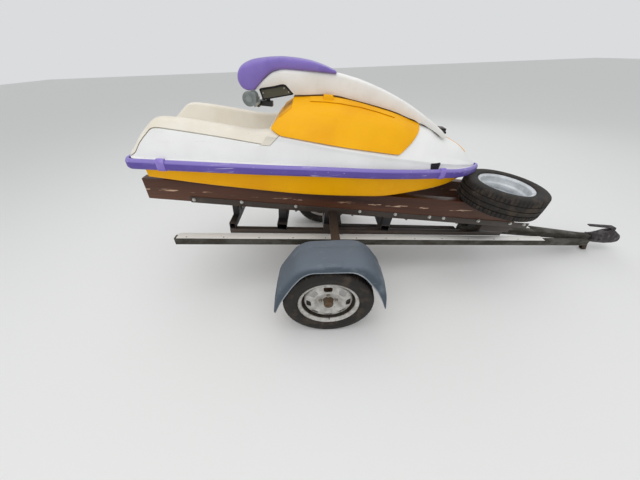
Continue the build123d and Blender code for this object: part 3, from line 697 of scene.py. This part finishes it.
# Aft deck and rider's tray: x, then y and z of base, seam and crest
AFT = [
    (5, 268, -40, 262, -2, 240, 18),
    (45, 288, -40, 275, 24, 247, 64),
    (95, 300, -40, 283, 82, 250, 122),
    (140, 305, -40, 279, 128, 244, 166),
    (185, 308, -40, 274, 164, 239, 203),
    (215, 310, -40, 273, 168, 238, 213),
    (260, 312, -40, 273, 166, 238, 216),
    (520, 314, -40, 277, 150, 238, 203),
    (700, 314, -40, 287.3, 138, 246, 191),
    (790, 314, -40, 288.4, 131, 263, 198),
    (880, 314, -40, 288.8, 128, 276, 202),
]
TRAY_SIDE = [(30, 158), (150, 186), (300, 204)]
TRAY_WALL_FRONT = [(0, 648), (60, 692), (205, 798), (373, 930)]


def up_to_bulkhead(half_at):
    """Rings from the stern to the slanted line where the fore form starts."""
    rings = [both_sides(half_at(x), x) for x in spaced(5, 185, 18)[:-1]]
    ends = []
    for spot in range(len(half_at(185))):
        end = 700
        for _ in range(8):
            end = reading(BULKHEAD, half_at(end)[spot][1]) + 1
        ends.append(end)
    for share in spaced(0, 1, 36):
        along = [185 + (end - 185) * share for end in ends]
        rings.append(both_sides([half_at(x)[spot] for spot, x in enumerate(along)], along))
    return rings


def tray_half(x):
    base, seam, crest = pairs(between(AFT, x))
    inner = reading(TRAY_SIDE, crest[1])
    half = [
        (154, 23), (reading(TRAY_SIDE, 0.7 * crest[1]) + 8, 0.7 * crest[1] - 4), (inner + 12, crest[1] - 9),
        (seam[0] - 14, seam[1] - 3), (seam[0] - 10, seam[1] + 3.5), (seam[0] + 1, seam[1] + 3.5),
        crest, (inner, crest[1]), (158, 30),
    ]
    steep = min(1, (crest[1] - 30) / 60)
    radii = (0, 0, 0, 0, 2, 4, 26 * (0.4 + 0.6 * steep), 16 * steep, 30 * steep)
    return rounded(half, radii, 5, mirrored=True)


def aft_half(x):
    base, seam, crest = pairs(between(AFT, x))
    half = [at_sheer(seam, base, x), seam, (seam[0] - 18, seam[1] - 2), (178, min(110, seam[1] - 4)), (163, 21)]
    return rounded(half, (0, 10, 0, 0, 0), 5, mirrored=True)


TRAY_WALL_LEVELS = (26, 60, 120, 187)


def tray_liner():
    plate = []
    for z in TRAY_WALL_LEVELS:
        near, far, wide = reading(TRAY_WALL_FRONT, z), reading(BULKHEAD, z) + 8, reading(TRAY_SIDE, z) + 3
        plate.append([(near, -wide, z), (near, wide, z), (far, wide, z), (far, -wide, z)])
    liner = join(skin(up_to_bulkhead(tray_half), caps="face"), broken_edges(skin(plate, caps="face"), 3))
    settle(liner, "tray_shell", CRAFT, "tray_gelcoat_cream", stands_for=["tray_liner"])


def aft_deck():
    settle(skin(up_to_bulkhead(aft_half), caps="face"), "deck_aft", CRAFT, "deck_gelcoat_white")


# Hull below the bond line: x, then y and z of top, chine and keel pad
HULL = [
    (66, 276, 70, 268, -121, 64, -176),
    (500, 312, 70, 290, -137, 64, -190),
    (1000, 314, 70, 292, -151, 58, -199),
    (1450, 284, 70, 256, -151, 46, -197),
    (1800, 208, 70, 172, -122, 28, -164),
    (2000, 134, 70, 104, -90, 16, -118),
    (2128, 66, 70, 44, -44, 8, -60),
]


def hull():
    rings = []
    for x in spaced(66, 2128, 84):
        top, chine, keel = pairs(between(HULL, x))
        narrow = min(1, chine[0] / 150)
        half = [at_sheer(top, chine, x), chine, keel]
        rings.append(both_sides(rounded(half, (0, 16 * narrow, 12 * narrow), 4, mirrored=True), x))
    intake = slab([(345, -260), (560, -260), (560, -150), (420, -22), (345, -22)], -58, 58)
    shell = cut(skin(rings), block(30, 345, -260, -18, 92), intake)
    settle(outward(shell), "hull_shell", CRAFT, "hull_gelcoat_yellow", stands_for=["hull_bottom"])


# The bond flange seen from above, as arcs through three points each
PLAN = [
    ((4, 262), (13, 289), (40, 300)),
    ((40, 300), (600, 322), (1150, 316)),
    ((1150, 316), (1560, 272), (1900, 186)),
    ((1900, 186), (2122, 88), (2216, 0)),
]


def circle_through(a, b, c):
    d = 2 * (a[0] * (b[1] - c[1]) + b[0] * (c[1] - a[1]) + c[0] * (a[1] - b[1]))
    sa, sb, sc = (p[0] ** 2 + p[1] ** 2 for p in (a, b, c))
    x = (sa * (b[1] - c[1]) + sb * (c[1] - a[1]) + sc * (a[1] - b[1])) / d
    y = (sa * (c[0] - b[0]) + sb * (a[0] - c[0]) + sc * (b[0] - a[0])) / d
    return x, y, sqrt((a[0] - x) ** 2 + (a[1] - y) ** 2)


PLAN_CIRCLES = [circle_through(*points) for points in PLAN]
# The distance between two places along it
FLANGE_STEP = 22


def on_flange(x):
    """The flange's port edge at x: its place and the direction straight out from it."""
    index = next(i for i, points in enumerate(PLAN) if x <= points[2][0] or i == len(PLAN) - 1)
    middle_x, middle_y, radius = PLAN_CIRCLES[index]
    y = middle_y + sqrt(max(radius ** 2 - (x - middle_x) ** 2, 0))
    return (x, y), ((x - middle_x) / radius, (y - middle_y) / radius)


def flange_line(low, high):
    """Places along the port flange between two x, with the stern corner taken in small turns."""
    line = []
    if low < 4:
        line += [((4, y), (-1, 0)) for y in spaced(0, 245, 8)]
    corner_x, corner_y, radius = PLAN_CIRCLES[0]
    if low < 40:
        for turn in spaced(172, 100, 9):
            out = (cos(radians(turn)), sin(radians(turn)))
            line.append(((corner_x + radius * out[0], corner_y + radius * out[1]), out))
        low = 46
    last = min(high, 2213)
    line += [on_flange(x) for x in spaced(low, last, max(2, int((last - low) / FLANGE_STEP)))]
    if high > 2213:
        first = line[-1][1]
        start = atan2(first[1], first[0])
        line += [((2216, 0), (cos(start * k / 6), sin(start * k / 6))) for k in (5, 4, 3, 2, 1, 0)]
    return line


def other_side(line):
    return [((x, -y), (u, -v)) for (x, y), (u, v) in line]


# The rail hangs below the bond line, most at the stern
RAIL_SAG = [(-80, 19), (690, 17), (1260, 9), (1800, 9), (2120, 9), (2300, 7)]


def rail_line(x):
    return sheer(x) - between(RAIL_SAG, x)[0]


# How far the clips' grooves sink between their ribs
RIB_DEPTH = 1.6


def rail_round(line, profile, ribbed=False):
    """Carry an (out, up) profile along the flange; a clip has ribs across its outer faces."""
    rings = []
    for index, ((x, y), (u, v)) in enumerate(line):
        sunk = RIB_DEPTH if ribbed and index % 4 in (2, 3) else 0
        section = [(out - sunk if out > 10 else out, up) for out, up in profile]
        rings.append([(x + u * out, y + v * out, rail_line(x) + up) for out, up in section])
    return skin(rings, caps="face")


BUMPER = closed_round([(0.6, 26), (14, 26), (24.3, 10), (24.3, -20), (18, -30), (0.6, -30)], 3, 2)
CLIP = closed_round([(1, 34), (19, 34), (28.5, 20), (28.5, -22), (20, -34), (1, -34)], 3, 2)
CLIP_ENDS = [(178, 222), (1854, 1894)]


def bumper():
    stern, side, bow = flange_line(-1, 198), flange_line(202, 1873), flange_line(1876, 2300)
    lengths = {
        "bumper_stern": other_side(stern)[:0:-1] + stern,
        "bumper_bow": bow + other_side(bow)[-2::-1],
        "bumper_side_port": side,
        "bumper_side_starboard": other_side(side),
    }
    for node, line in lengths.items():
        settle(rail_round(line, BUMPER), node + "_rail", CRAFT, "bumper_vinyl_purple", stands_for=[node])
    covered = [[on_flange(x) for x in spaced(low, high, 28)] for low, high in CLIP_ENDS]
    covered += [other_side(line) for line in covered]
    settle(join(*(rail_round(line, CLIP, ribbed=True) for line in covered)), "bumper_joint_clips", CRAFT,
           "clip_plastic_lilac", stands_for=["bumper_clips"], angle=25)
    rings = []
    for x in spaced(5, 2205, 90):
        half = on_flange(x)[0][1] if x > 40 else 262 + 36 * sin(radians(90 * (x - 5) / 36))
        rings.append(both_sides([(half + 1.5, sheer(x) - 8), (half + 1.5, sheer(x) + 8)], x))
    # The flange is open where the tray sinks through it
    bond = cut(skin(rings), block(60, 720, -60, 200, 150))
    settle(outward(bond), "bond_flange", CRAFT, "deck_gelcoat_white")


# Handle pole: x, half width, top and bottom
POLE = [
    (694, 60, 362, 352), (720, 63, 385, 368), (745, 66, 410, 374), (800, 70, 452, 386), (862, 75, 469, 401),
    (892, 76, 471, 380), (919, 75, 472, 357), (1131, 62, 474, 373), (1259, 60, 460, 359), (1415, 59, 425, 338),
    (1582, 59, 371, 307), (1706, 64, 317, 271), (1790, 68, 276, 239), (1834, 71, 252, 219), (1870, 73, 230, 201),
    (1892, 74, 216, 206),
]
POLE_HOLLOW = [(952, 200), (952, 380), (1150, 455), (1420, 410), (1690, 312), (1690, 200)]


def handle_pole():
    rings = []
    for x in spaced(694, 1892, 76):
        half, top, bottom = between(POLE, x)
        thick = min(1, (top - bottom) / 60)
        corners = [(half - 6 * thick, bottom), (half, (top + bottom) / 2), (half - 3, top), (half * 0.4, top + 1.5)]
        rings.append(both_sides(rounded(corners, (0, 30, 26 * thick, 30), 5, mirrored=True), x))
    hollow = slab(closed_round(POLE_HOLLOW, 12), -50, 50)
    pole = broken_edges(outward(cut(skin(rings), hollow, block(1826, 1960, 100, 400, 38))), 2.5, 2, 55)
    settle(pole, "handle_pole_shell", CRAFT, "pole_gelcoat_white", "pole", ["handle_pole"])


# Chin pad: x, half width, top and bottom
PAD = [
    (604, 52, 410, 398), (607, 60, 430, 388), (613, 67, 446, 378), (622, 72, 459, 366), (636, 75, 470, 357),
    (656, 78, 481, 352), (688, 80, 494, 353), (716, 80, 501, 379), (745, 80, 507, 411), (772, 80, 511.5, 435),
    (800, 80, 515.5, 453), (860, 80, 521, 468), (914, 80, 522, 470), (996, 79, 518, 472), (1081, 77, 503, 473),
    (1128, 74, 490, 473), (1140, 72, 487, 473.5), (1145, 70, 482, 474),
]
PAD_STATIONS = [604, 605, 607, 609.5, 613, 618, 625, 634, *spaced(645, 1132, 48), 1138, 1142, 1145]


def chin_pad():
    rings = []
    for x in PAD_STATIONS:
        half, top, bottom = between(PAD, x)
        deep = top - bottom
        soft = min(1, deep / 50)
        corners = [
            (half * 0.55, bottom), (half - 5 * soft, bottom + 1), (half, bottom + 0.45 * deep),
            (half - 5 * soft, top - 0.12 * deep), (half * 0.45, top + 1),
        ]
        rings.append(both_sides(rounded(corners, (0, 14 * soft, 60, 26 * soft, 60), 5, mirrored=True), x))
    pad = settle(skin(rings), "chin_pad_cover", CRAFT, "pad_vinyl_purple", "pole", ["chin_pad"], angle=60)


# Mudguards, seen from the side: the arch, and the lip that its outer edge rolls down to
GUARD = [
    (-352, 262), (-332, 360), (-304, 449), (-233, 549), (-178, 621), (-112, 651), (132, 651), (192, 643),
    (256, 594), (332, 477), (360, 360), (367, 262),
]
GUARD_LIP = [
    (-338, 262), (-302, 349), (-257, 429), (-206, 512), (-151, 583), (-99, 615), (121, 611), (157, 603),
    (208, 563), (287, 444), (328, 352), (356, 262),
]
GUARD_ROLL = [
    (532, 0.06), (536, 0), (560, 0), (595, 0), (599, -0.06), (604, -0.08), (650, -0.08), (700, -0.06), (725, 0),
    (740, 0.04), (748, 0.1), (754, 0.18), (758.5, 0.3), (761, 0.45), (762, 0.65), (762.5, 0.85), (763, 1),
]
GUARD_LIP_EDGE = [(762, 0.97), (765.6, 0.97), (765.8, 1.03), (765.6, 1.09), (762, 1.09)]
# Steps round the arch, and the thickness of its wall
GUARD_STEPS = 64
GUARD_WALL = 4


def even(points, count):
    """Walk a line in a fixed number of equal steps."""
    lengths = [sqrt((a[0] - b[0]) ** 2 + (a[1] - b[1]) ** 2) for a, b in zip(points, points[1:])]
    walked = [points[0]]
    for step in range(1, count):
        left = sum(lengths) * step / count
        i = 0
        while left > lengths[i]:
            left -= lengths[i]
            i += 1
        share = left / lengths[i]
        walked.append(tuple(a + (b - a) * share for a, b in zip(points[i], points[i + 1])))
    return walked + [points[-1]]


def guard_ring(share, y):
    """The arch at one distance out, part of the way from the crown line to the lip."""
    crown, lip = (even(rounded(line, [0] + [34] * (len(line) - 2)), GUARD_STEPS) for line in (GUARD, GUARD_LIP))
    return [(a[0] + (b[0] - a[0]) * share, y, a[1] + (b[1] - a[1]) * share) for a, b in zip(crown, lip)]


# A blank raised pad near the outer edge: distance out, share of the way to the lip, and height
GUARD_PAD = [
    (722, 0, 0), (722, 0, 4), (740, 0.02, 4), (756, 0.12, 4), (760, 0.28, 3.5), (761, 0.42, 2), (760, 0.46, -2),
]


def mudguards():
    for name, side in SIDES.items():
        guard = skin([guard_ring(share, side * y) for y, share in GUARD_ROLL], closed=False)
        # Its faces look outward, so the wall is laid towards the wheel
        modify(guard, "SOLIDIFY", thickness=GUARD_WALL * MM, offset=-1)
        settle(outward(guard), f"mudguard_shell_{name}", AXLE, "mudguard_plastic",
               stands_for=[f"mudguard_{name}"], angle=28)
        edge = skin([guard_ring(share, side * y) for y, share in GUARD_LIP_EDGE], closed=False)
        # The rolled lip's strip is painted pale, a painted highlight on the edge.
        settle(edge, f"mudguard_lip_{name}", AXLE, "mudguard_plastic", finish="guard_lip_highlight")
        pad = skin([
            [(x, side * y, z + rise) for x, _, z in guard_ring(share, 0) if -30 < x < 94 and z > 500]
            for y, share, rise in GUARD_PAD
        ], closed=False)
        settle(broken_edges(outward(pad), 1.0, 2, 50), f"mudguard_pad_{name}", AXLE, "mudguard_plastic")


# Wheels: the middle of each from the craft's middle, and its height over the ground
WHEEL_OUT = 663.5
WHEEL_RADIUS = 291.5
# The spare lies flat on the starboard timber, ahead of the bow
SPARE_SCALE = 0.89
BUNK_TOP = -167
TYRE_WIDTH = 177
SPARE = CRAFT @ at(2364, -185, BUNK_TOP + SPARE_SCALE * TYRE_WIDTH / 2 + 0.2) @ turned_by(-90, "X")
# Half a tyre from the tread's middle to the bead, as (distance across, radius)
TYRE = [
    (0.5, 284.5), (4, 284.5), (4, 291.5), (19, 291.4), (34, 290.9), (34, 284), (42, 283.5), (42, 290.3),
    (58, 289.8), (69, 288.5), (77, 285), (82, 278), (85, 268), (87, 256), (87.8, 246), (88.4, 240), (88.4, 236),
    (87.2, 233), (87, 224), (86, 214), (84.4, 210), (83.6, 208), (81, 203), (76, 199), (71.5, 197), (67, 190),
    (65, 180),
]
# Every fourth step round the tread is a sipe
TREAD_STEPS = 256


def wheel_place(side):
    return AXLE @ at(0, side * WHEEL_OUT, WHEEL_RADIUS)


def tyre():
    profile = [(-y, r) for y, r in reversed(TYRE)] + TYRE
    rings = []
    for step in range(TREAD_STEPS + 1):
        turn = 2 * pi * (step % TREAD_STEPS) / TREAD_STEPS
        ring = []
        for y, r in profile:
            if 42 <= abs(y) <= 80 and r > 265 and step % 4 == 0:
                r -= 5 * min(1, (r - 265) / 8)
            elif 4 < abs(y) < 35 and r > 289 and step % 8 == (0 if y > 0 else 4):
                r -= 3
            ring.append((r * sin(turn), y, r * cos(turn)))
        rings.append(ring)
    return skin(rings, caps=None)


def tyres():
    for name, side in SIDES.items():
        settle(tyre(), f"tyre_carcass_{name}", wheel_place(side), "tyre", f"wheel_{name}", [f"tyre_{name}"], 30)
    spare = moved(tyre(), Matrix.Scale(SPARE_SCALE, 4))
    settle(spare, "tyre_carcass_spare", SPARE, "tyre", stands_for=["spare_tyre"], angle=30)


# Steel and timber that keep their CAD shape, with their edges broken as real ones are
EASED = {
    2.5: ["rail_starboard", "rail_port", "drawbar", "frame_beam_starboard", "frame_beam_port", "crossmember_aft",
          "crossmember_middle", "crossmember_fore", "axle_saddle", "front_support", "centre_spar", "axle_tube"],
    1.0: ["rail_strip_starboard", "rail_strip_port", "bunk_steel_starboard", "bunk_steel_port",
          "mudguard_bracket_starboard", "mudguard_bracket_port", "ride_plate", "pole_bracket", "hood_latch"],
    4.0: ["bunk_starboard", "bunk_port"],
}


def eased_steel():
    for width, names in EASED.items():
        for name in names:
            piece = edit(new_object(name, nodes[name].data.copy()), (bpy.ops.mesh.remove_doubles, {"threshold": WELD}),
                         (bpy.ops.mesh.dissolve_limited, {"angle_limit": radians(1)}))
            if slots[name] == "bunk_timber":
                # The timber ends under the spare wheel
                cut(piece, moved(block(2600, 3000, -420, 60, 400), CRAFT))
            settle(broken_edges(piece, width), name + "_eased", Matrix.Identity(4), slots[name], stands_for=[name])


# Pressed steel wheels: (distance out, radius) of the parts, in the wheel's own place
RIM_LIP = [
    (57, 176.5), (66, 180), (68, 187), (71, 195), (75, 195.5), (76.5, 194), (75, 192), (70.5, 190), (69, 180),
    (65, 174), (57, 172.5),
]
RIM_BARREL = [
    (-58, 176.5), (-24, 174), (-16, 160), (8, 158), (20, 160), (27, 174), (58, 176.5), (58, 172), (30, 170),
    (22, 156), (8, 153), (-14, 155), (-24, 169), (-58, 172),
]
DISC_FACE = [
    (22, 158), (38, 156), (46, 152), (51, 146), (56, 136), (62, 120), (66, 106), (66, 98), (62, 90), (52, 82),
    (42, 74), (37, 66), (36, 48), (36, 38), (40, 33), (40, 22),
]
# The thickness of the disc's steel
DISC_STEEL = 3.5
DISC_WINDOWS = 8
WINDOW = [(-25, 111), (25, 111), (30, 142), (-30, 142)]
HUB_CAP = [(36, 35), (40, 35), (43, 32), (72, 30.5), (78, 28), (80, 24), (80, 14), (77, 12), (77, 0.1)]
HUB_DRUM = [(-40, 15), (-40, 36), (33, 36), (33, 20)]
VALVE_STEM = [(40, 0.2), (40, 5), (60, 4.4), (62, 3.2), (72, 3.2), (73, 0.2)]
# How far the nuts stand from the wheel's middle
NUT_CIRCLE = 52


def turned(profile, steps=96, closed=True):
    """Carry an (out, radius) profile round the wheel's axis."""
    rings = []
    for step in range(steps + 1):
        turn = 2 * pi * (step % steps) / steps
        ring = [(r * sin(turn), y, r * cos(turn)) for y, r in profile]
        rings.append(ring + ring[:1] if closed else ring)
    return skin(rings, closed=False)


def pressed_wheel():
    """The rolled barrel, and the bright lips with the domed disc and its rounded windows."""
    barrel = turned(closed_round(RIM_BARREL, 1.2, 1))
    lips = [turned(closed_round([(side * y, r) for y, r in RIM_LIP], 1.2, 1)) for side in (1, -1)]
    inner = [(y - DISC_STEEL, r - 0.5) for y, r in reversed(DISC_FACE)]
    disc = turned(closed_round(DISC_FACE + inner, 0.8, 1))
    for index in range(DISC_WINDOWS):
        cut(disc, moved(slab(closed_round(WINDOW, 13), 20, 90), turned_by(360 * index / DISC_WINDOWS, "Y")))
    return barrel, join(broken_edges(outward(disc), 1.2, 2, 50), *lips)


def wheel_nut():
    """A hexagon nut on its coned seat, pointing out along y."""
    seat = primitive(bpy.ops.mesh.primitive_cone_add, vertices=24, radius1=0.015, radius2=0.012, depth=0.006,
                     location=(0, 0.036, 0), rotation=(-pi / 2, 0, 0))
    nut = primitive(bpy.ops.mesh.primitive_cylinder_add, vertices=6, radius=0.0105, depth=0.016,
                    location=(0, 0.046, 0), rotation=(-pi / 2, 0, 0))
    return broken_edges(join(nut, seat), 1.4, 2, 40)


def wheels():
    for name, side in SIDES.items():
        place, body = wheel_place(side) @ turned_by(90 - 90 * side, "Z"), f"wheel_{name}"
        barrel, disc = pressed_wheel()
        nuts = [moved(wheel_nut(), turned_by(90 * index, "Y") @ at(0, 0, NUT_CIRCLE)) for index in range(4)]
        settle(disc, f"pressed_wheel_{name}", place, "wheel_steel", body, [f"rim_{name}"])
        # The barrel is painted dark: dirt, and also painted shade inside the rim.
        settle(barrel, f"wheel_barrel_{name}", place, "wheel_steel", body, finish="barrel_dirt_and_shade")
        settle(join(*nuts), f"wheel_nuts_{name}", place, "rusty_steel", body, finish="nut_steel")
        settle(turned(HUB_CAP, 48, False), f"hub_cap_{name}", place, "rusty_steel", body, finish="hub_rust")
        settle(turned(HUB_DRUM, 32, False), f"hub_drum_{name}", place, "rusty_steel", body, finish="hub_rust")
        stem = moved(turned(VALVE_STEM, 12, False), Matrix.Rotation(pi + 0.02, 4, "Y") @ at(0, 4, 162))
        settle(stem, f"valve_stem_{name}", place, "tyre", body)
    spare = moved(join(*pressed_wheel()), Matrix.Scale(SPARE_SCALE, 4))
    settle(spare, "pressed_wheel_spare", SPARE, "wheel_steel", stands_for=["spare_rim"], finish="spare_silver")


# Fasteners on the trailer, as x along the rail
BUNK_BOLTS = [-917, -600, -228, 227, 490, 749, 857, 1130, 1386, 1500]
HANGING_BOLTS = [-600, -227, 187, 433, 599, 1000]
RIVETS = range(-940, 1880, 235)
# How far out the rails run at the axle, and how much they draw together towards the bow
RAIL_HALF = 303
RAIL_TAPER = 0.0985
# A hexagon's corner radius over its width across the flats
HEX_CORNER = 0.577


def bolt_head(across=17, thick=8, washer=24):
    """A hexagon bolt head on its washer, pointing to starboard (along -y)."""
    head = primitive(bpy.ops.mesh.primitive_cylinder_add, vertices=6, radius=across * HEX_CORNER * MM,
                     depth=thick * MM, location=(0, -(thick / 2 + 1.6) * MM, 0), rotation=(pi / 2, 0, 0))
    under = primitive(bpy.ops.mesh.primitive_cylinder_add, vertices=20, radius=washer / 2 * MM, depth=1.8 * MM,
                      location=(0, -0.8 * MM, 0), rotation=(pi / 2, 0, 0))
    return broken_edges(join(head, under), 0.8, 2, 40)


def button(segments, rings, radius, flat):
    """A round rivet or screw head: a ball, scaled flat along one axis."""
    ball = primitive(bpy.ops.mesh.primitive_uv_sphere_add, segments=segments, ring_count=rings, radius=radius * MM)
    return moved(ball, Matrix.Diagonal((*flat, 1)))


def fasteners():
    heads = in_pairs(bolt_head, [(x, 206, 188 if x < -900 else 199) for x in BUNK_BOLTS])
    settle(heads, "bunk_bolts", TRAILER, "galvanised_steel", finish="zinc_bolt")
    ends = in_pairs(lambda: moved(bolt_head(16, 20, 26), turned_by(90, "X")), [(x, 180, 165) for x in HANGING_BOLTS])
    settle(ends, "bunk_bolt_ends", TRAILER, "galvanised_steel", finish="nut_steel")
    rivets = in_pairs(lambda: button(12, 6, 5.5, (1, 1, 0.45)),
                      [(x, RAIL_HALF - RAIL_TAPER * x - 12, 3.2) for x in RIVETS])
    settle(rivets, "strip_rivets", TRAILER, "galvanised_steel", finish="nut_steel")


# Coupling: a cast housing over the ball cup, its latch handle, and the foot that props the nose
COUPLING = [
    (2424, 41, -37, 38), (2430, 42, -38, 40), (2452, 42, -39, 46), (2486, 41, -40, 62), (2520, 42, -42, 85),
    (2570, 44, -43, 99), (2616, 45, -43, 90), (2654, 45, -36, 70), (2684, 42, -22, 56), (2700, 31, -6, 42),
    (2707, 15, 4, 28),
]
LATCH_HANDLE = [(2330, 116), (2332, 127), (2560, 131), (2590, 122), (2604, 98), (2590, 84), (2566, 92), (2548, 112)]


def coupling():
    rings = []
    for x, half, low, high in COUPLING:
        deep = high - low
        corners = [(half * 0.45, low), (half, low + 0.2 * deep), (half, high - 0.32 * deep), (half * 0.5, high)]
        rings.append(both_sides(rounded(corners, (0, 0.16 * deep, 0.2 * deep, 0.1 * deep), 4, mirrored=True), x))
    head = broken_edges(outward(cut(skin(rings), round_bar(2668, 25.5, -61, -2))), 1.5, 2, 45)
    bolts = in_pairs(lambda: bolt_head(19, 9, 30), [(2446, 41, 8), (2500, 41, 10)])
    settle(join(head, bolts), "coupling_casting", TRAILER, "coupling_steel", stands_for=["coupling_head"], angle=30)
    lever = broken_edges(slab(closed_round(LATCH_HANDLE, 5), -14, 14), 3, 3, 30)
    settle(lever, "coupling_latch_handle", TRAILER, "coupling_steel", stands_for=["coupling_handle"])
    foot = slab([(2404, -27), (2452, -27), (2516, -134.4), (2479, -139.4)], -17, 17)
    cut(foot, slab([(2398, -30), (2446, -30), (2510, -140), (2473, -145)], -11, 11))
    settle(broken_edges(outward(foot), 1, 2, 40), "prop_foot_bar", TRAILER, "rusty_steel", stands_for=["prop_foot"])


BLACK_PATCH = [(1786, 80), (1857, 82), (1880, 40), (1803, 24)]


def deck_details():
    """The black patch over the bow joint, and the yellow flash on the nose."""
    patch = shared(fore_skin(1.5, 1760, 1860, 8), slab(BLACK_PATCH, -400, 0))
    cut(patch, fore_skin(-1.5, 1740, 1880, 8))
    settle(outward(patch), "bow_patch", CRAFT, "black_bracket", finish="black_tape")
    flash = shared(fore_skin(1.2, 1895, 2110, 16), block(1905, 2085, 60, 260, 26))
    cut(flash, fore_skin(-1.2, 1880, 2120, 16))
    settle(outward(flash), "nose_flash", CRAFT, "hood_gelcoat_yellow")


# Steering head: a black casing with a recessed face on each side, seen below the pole's head
HEAD = [(715, 362), (864, 399), (915, 357), (906, 350), (735, 309)]
HEAD_FACE = [(726, 356), (860, 388), (900, 355), (740, 317)]
HEAD_SCREWS = [(738, 39.5, 345), (884, 39.5, 362), (858, 39.5, 379)]


def steering_head():
    casing = slab(closed_round(HEAD, 5), -41.5, 41.5)
    cut(casing, *side_slabs(closed_round(HEAD_FACE, 4), 37, 60), round_bar(760, 12.6, 280, 352))
    settle(broken_edges(outward(casing), 1.5, 2, 40), "head_casing", CRAFT, "black_bracket", "pole",
           ["steering_head"])
    faces = join(*side_slabs(closed_round(widened(HEAD_FACE, -0.4), 4), 36.5, 39))
    settle(faces, "head_faces", CRAFT, "grey_plastic", "pole", finish="head_olive")
    screws = in_pairs(lambda: button(14, 8, 4, (1, 0.5, 1)), HEAD_SCREWS)
    settle(screws, "head_screws", CRAFT, "bar_steel", "pole", finish="zinc_bolt")


# Grips: ribbed rubber between two flanges, with a pale round face at the bar's end
BAR_X, BAR_Z = 716, 350
GRIP = [
    (192, 11.2), (192, 24), (196, 25.5), (199, 24), (201, 17.5),
    *((y + out, r) for y in range(204, 292, 4) for out, r in ((0, 17.5), (1.2, 16.2), (2.4, 16.2), (3.4, 17.5))),
    (296, 18), (298, 30), (301, 33), (305, 33), (308, 29), (308, 17), (311, 15), (311, 0.1),
]


def grips():
    for name, side in SIDES.items():
        grip = moved(turned(GRIP, 40), at(BAR_X, 0, BAR_Z) @ turned_by(90 - 90 * side, "Z"))
        settle(outward(grip), f"grip_{name}", CRAFT, "grip_rubber", "bars", ["grips"] if side < 0 else (), 40,
               "grip_grey")


for build in (
    hood_and_deck, tray_liner, aft_deck, hull, bumper, handle_pole, chin_pad, mudguards, tyres, eased_steel,
    wheels, fasteners, coupling, deck_details, steering_head, grips,
):
    build()


# Stage and lights

def stage():
    """A pale floor that keeps the object's shadow."""
    floor = primitive(bpy.ops.mesh.primitive_plane_add, size=60)
    floor.name = "floor"
    material, _ = new_material("studio_floor")
    feed(material, material.node_tree.nodes["Principled BSDF"], {"Base Color": "#e6e6e4", "Roughness": 0.9})
    floor.data.materials.append(material)


def sky(strength):
    """An even pale studio light; the camera, gloss and glass see a plain pale backdrop."""
    world = bpy.data.worlds.new("studio")
    bpy.context.scene.world = world
    world.use_nodes = True
    light_path = add(world, "ShaderNodeLightPath", {}).outputs
    seen = light_path["Is Camera Ray"]
    for ray in ("Is Glossy Ray", "Is Transmission Ray"):
        seen = add(world, "ShaderNodeMath", {0: seen, 1: light_path[ray]}, operation="MAXIMUM").outputs[0]
    level = add(world, "ShaderNodeMapRange", {0: seen, 3: strength, 4: 0.87}).outputs[0]
    feed(world, world.node_tree.nodes["Background"], {"Color": "#e8eaec", "Strength": level})


def light(name, size, power, place, target):
    lamp = bpy.data.lights.new(name, "AREA")
    lamp.shape = "RECTANGLE"
    lamp.size, lamp.size_y = size
    lamp.energy = power
    holder = new_object(name, lamp)
    holder.location = place
    holder.rotation_euler = (Vector(target) - Vector(place)).to_track_quat("-Z", "Y").to_euler()


stage()
sky(0.80)
light("sky_panel", (7, 5), 118, (-0.6, -1.0, 5.2), (0, 0, 0.5))
light("side_panel", (5, 3), 34, (-2.5, -4.5, 2.6), (0, 0, 0.6))
light("back_panel", (5, 3), 24, (2.0, 4.5, 3.0), (0, 0, 0.6))
bpy.context.scene.view_settings.view_transform = "Standard"
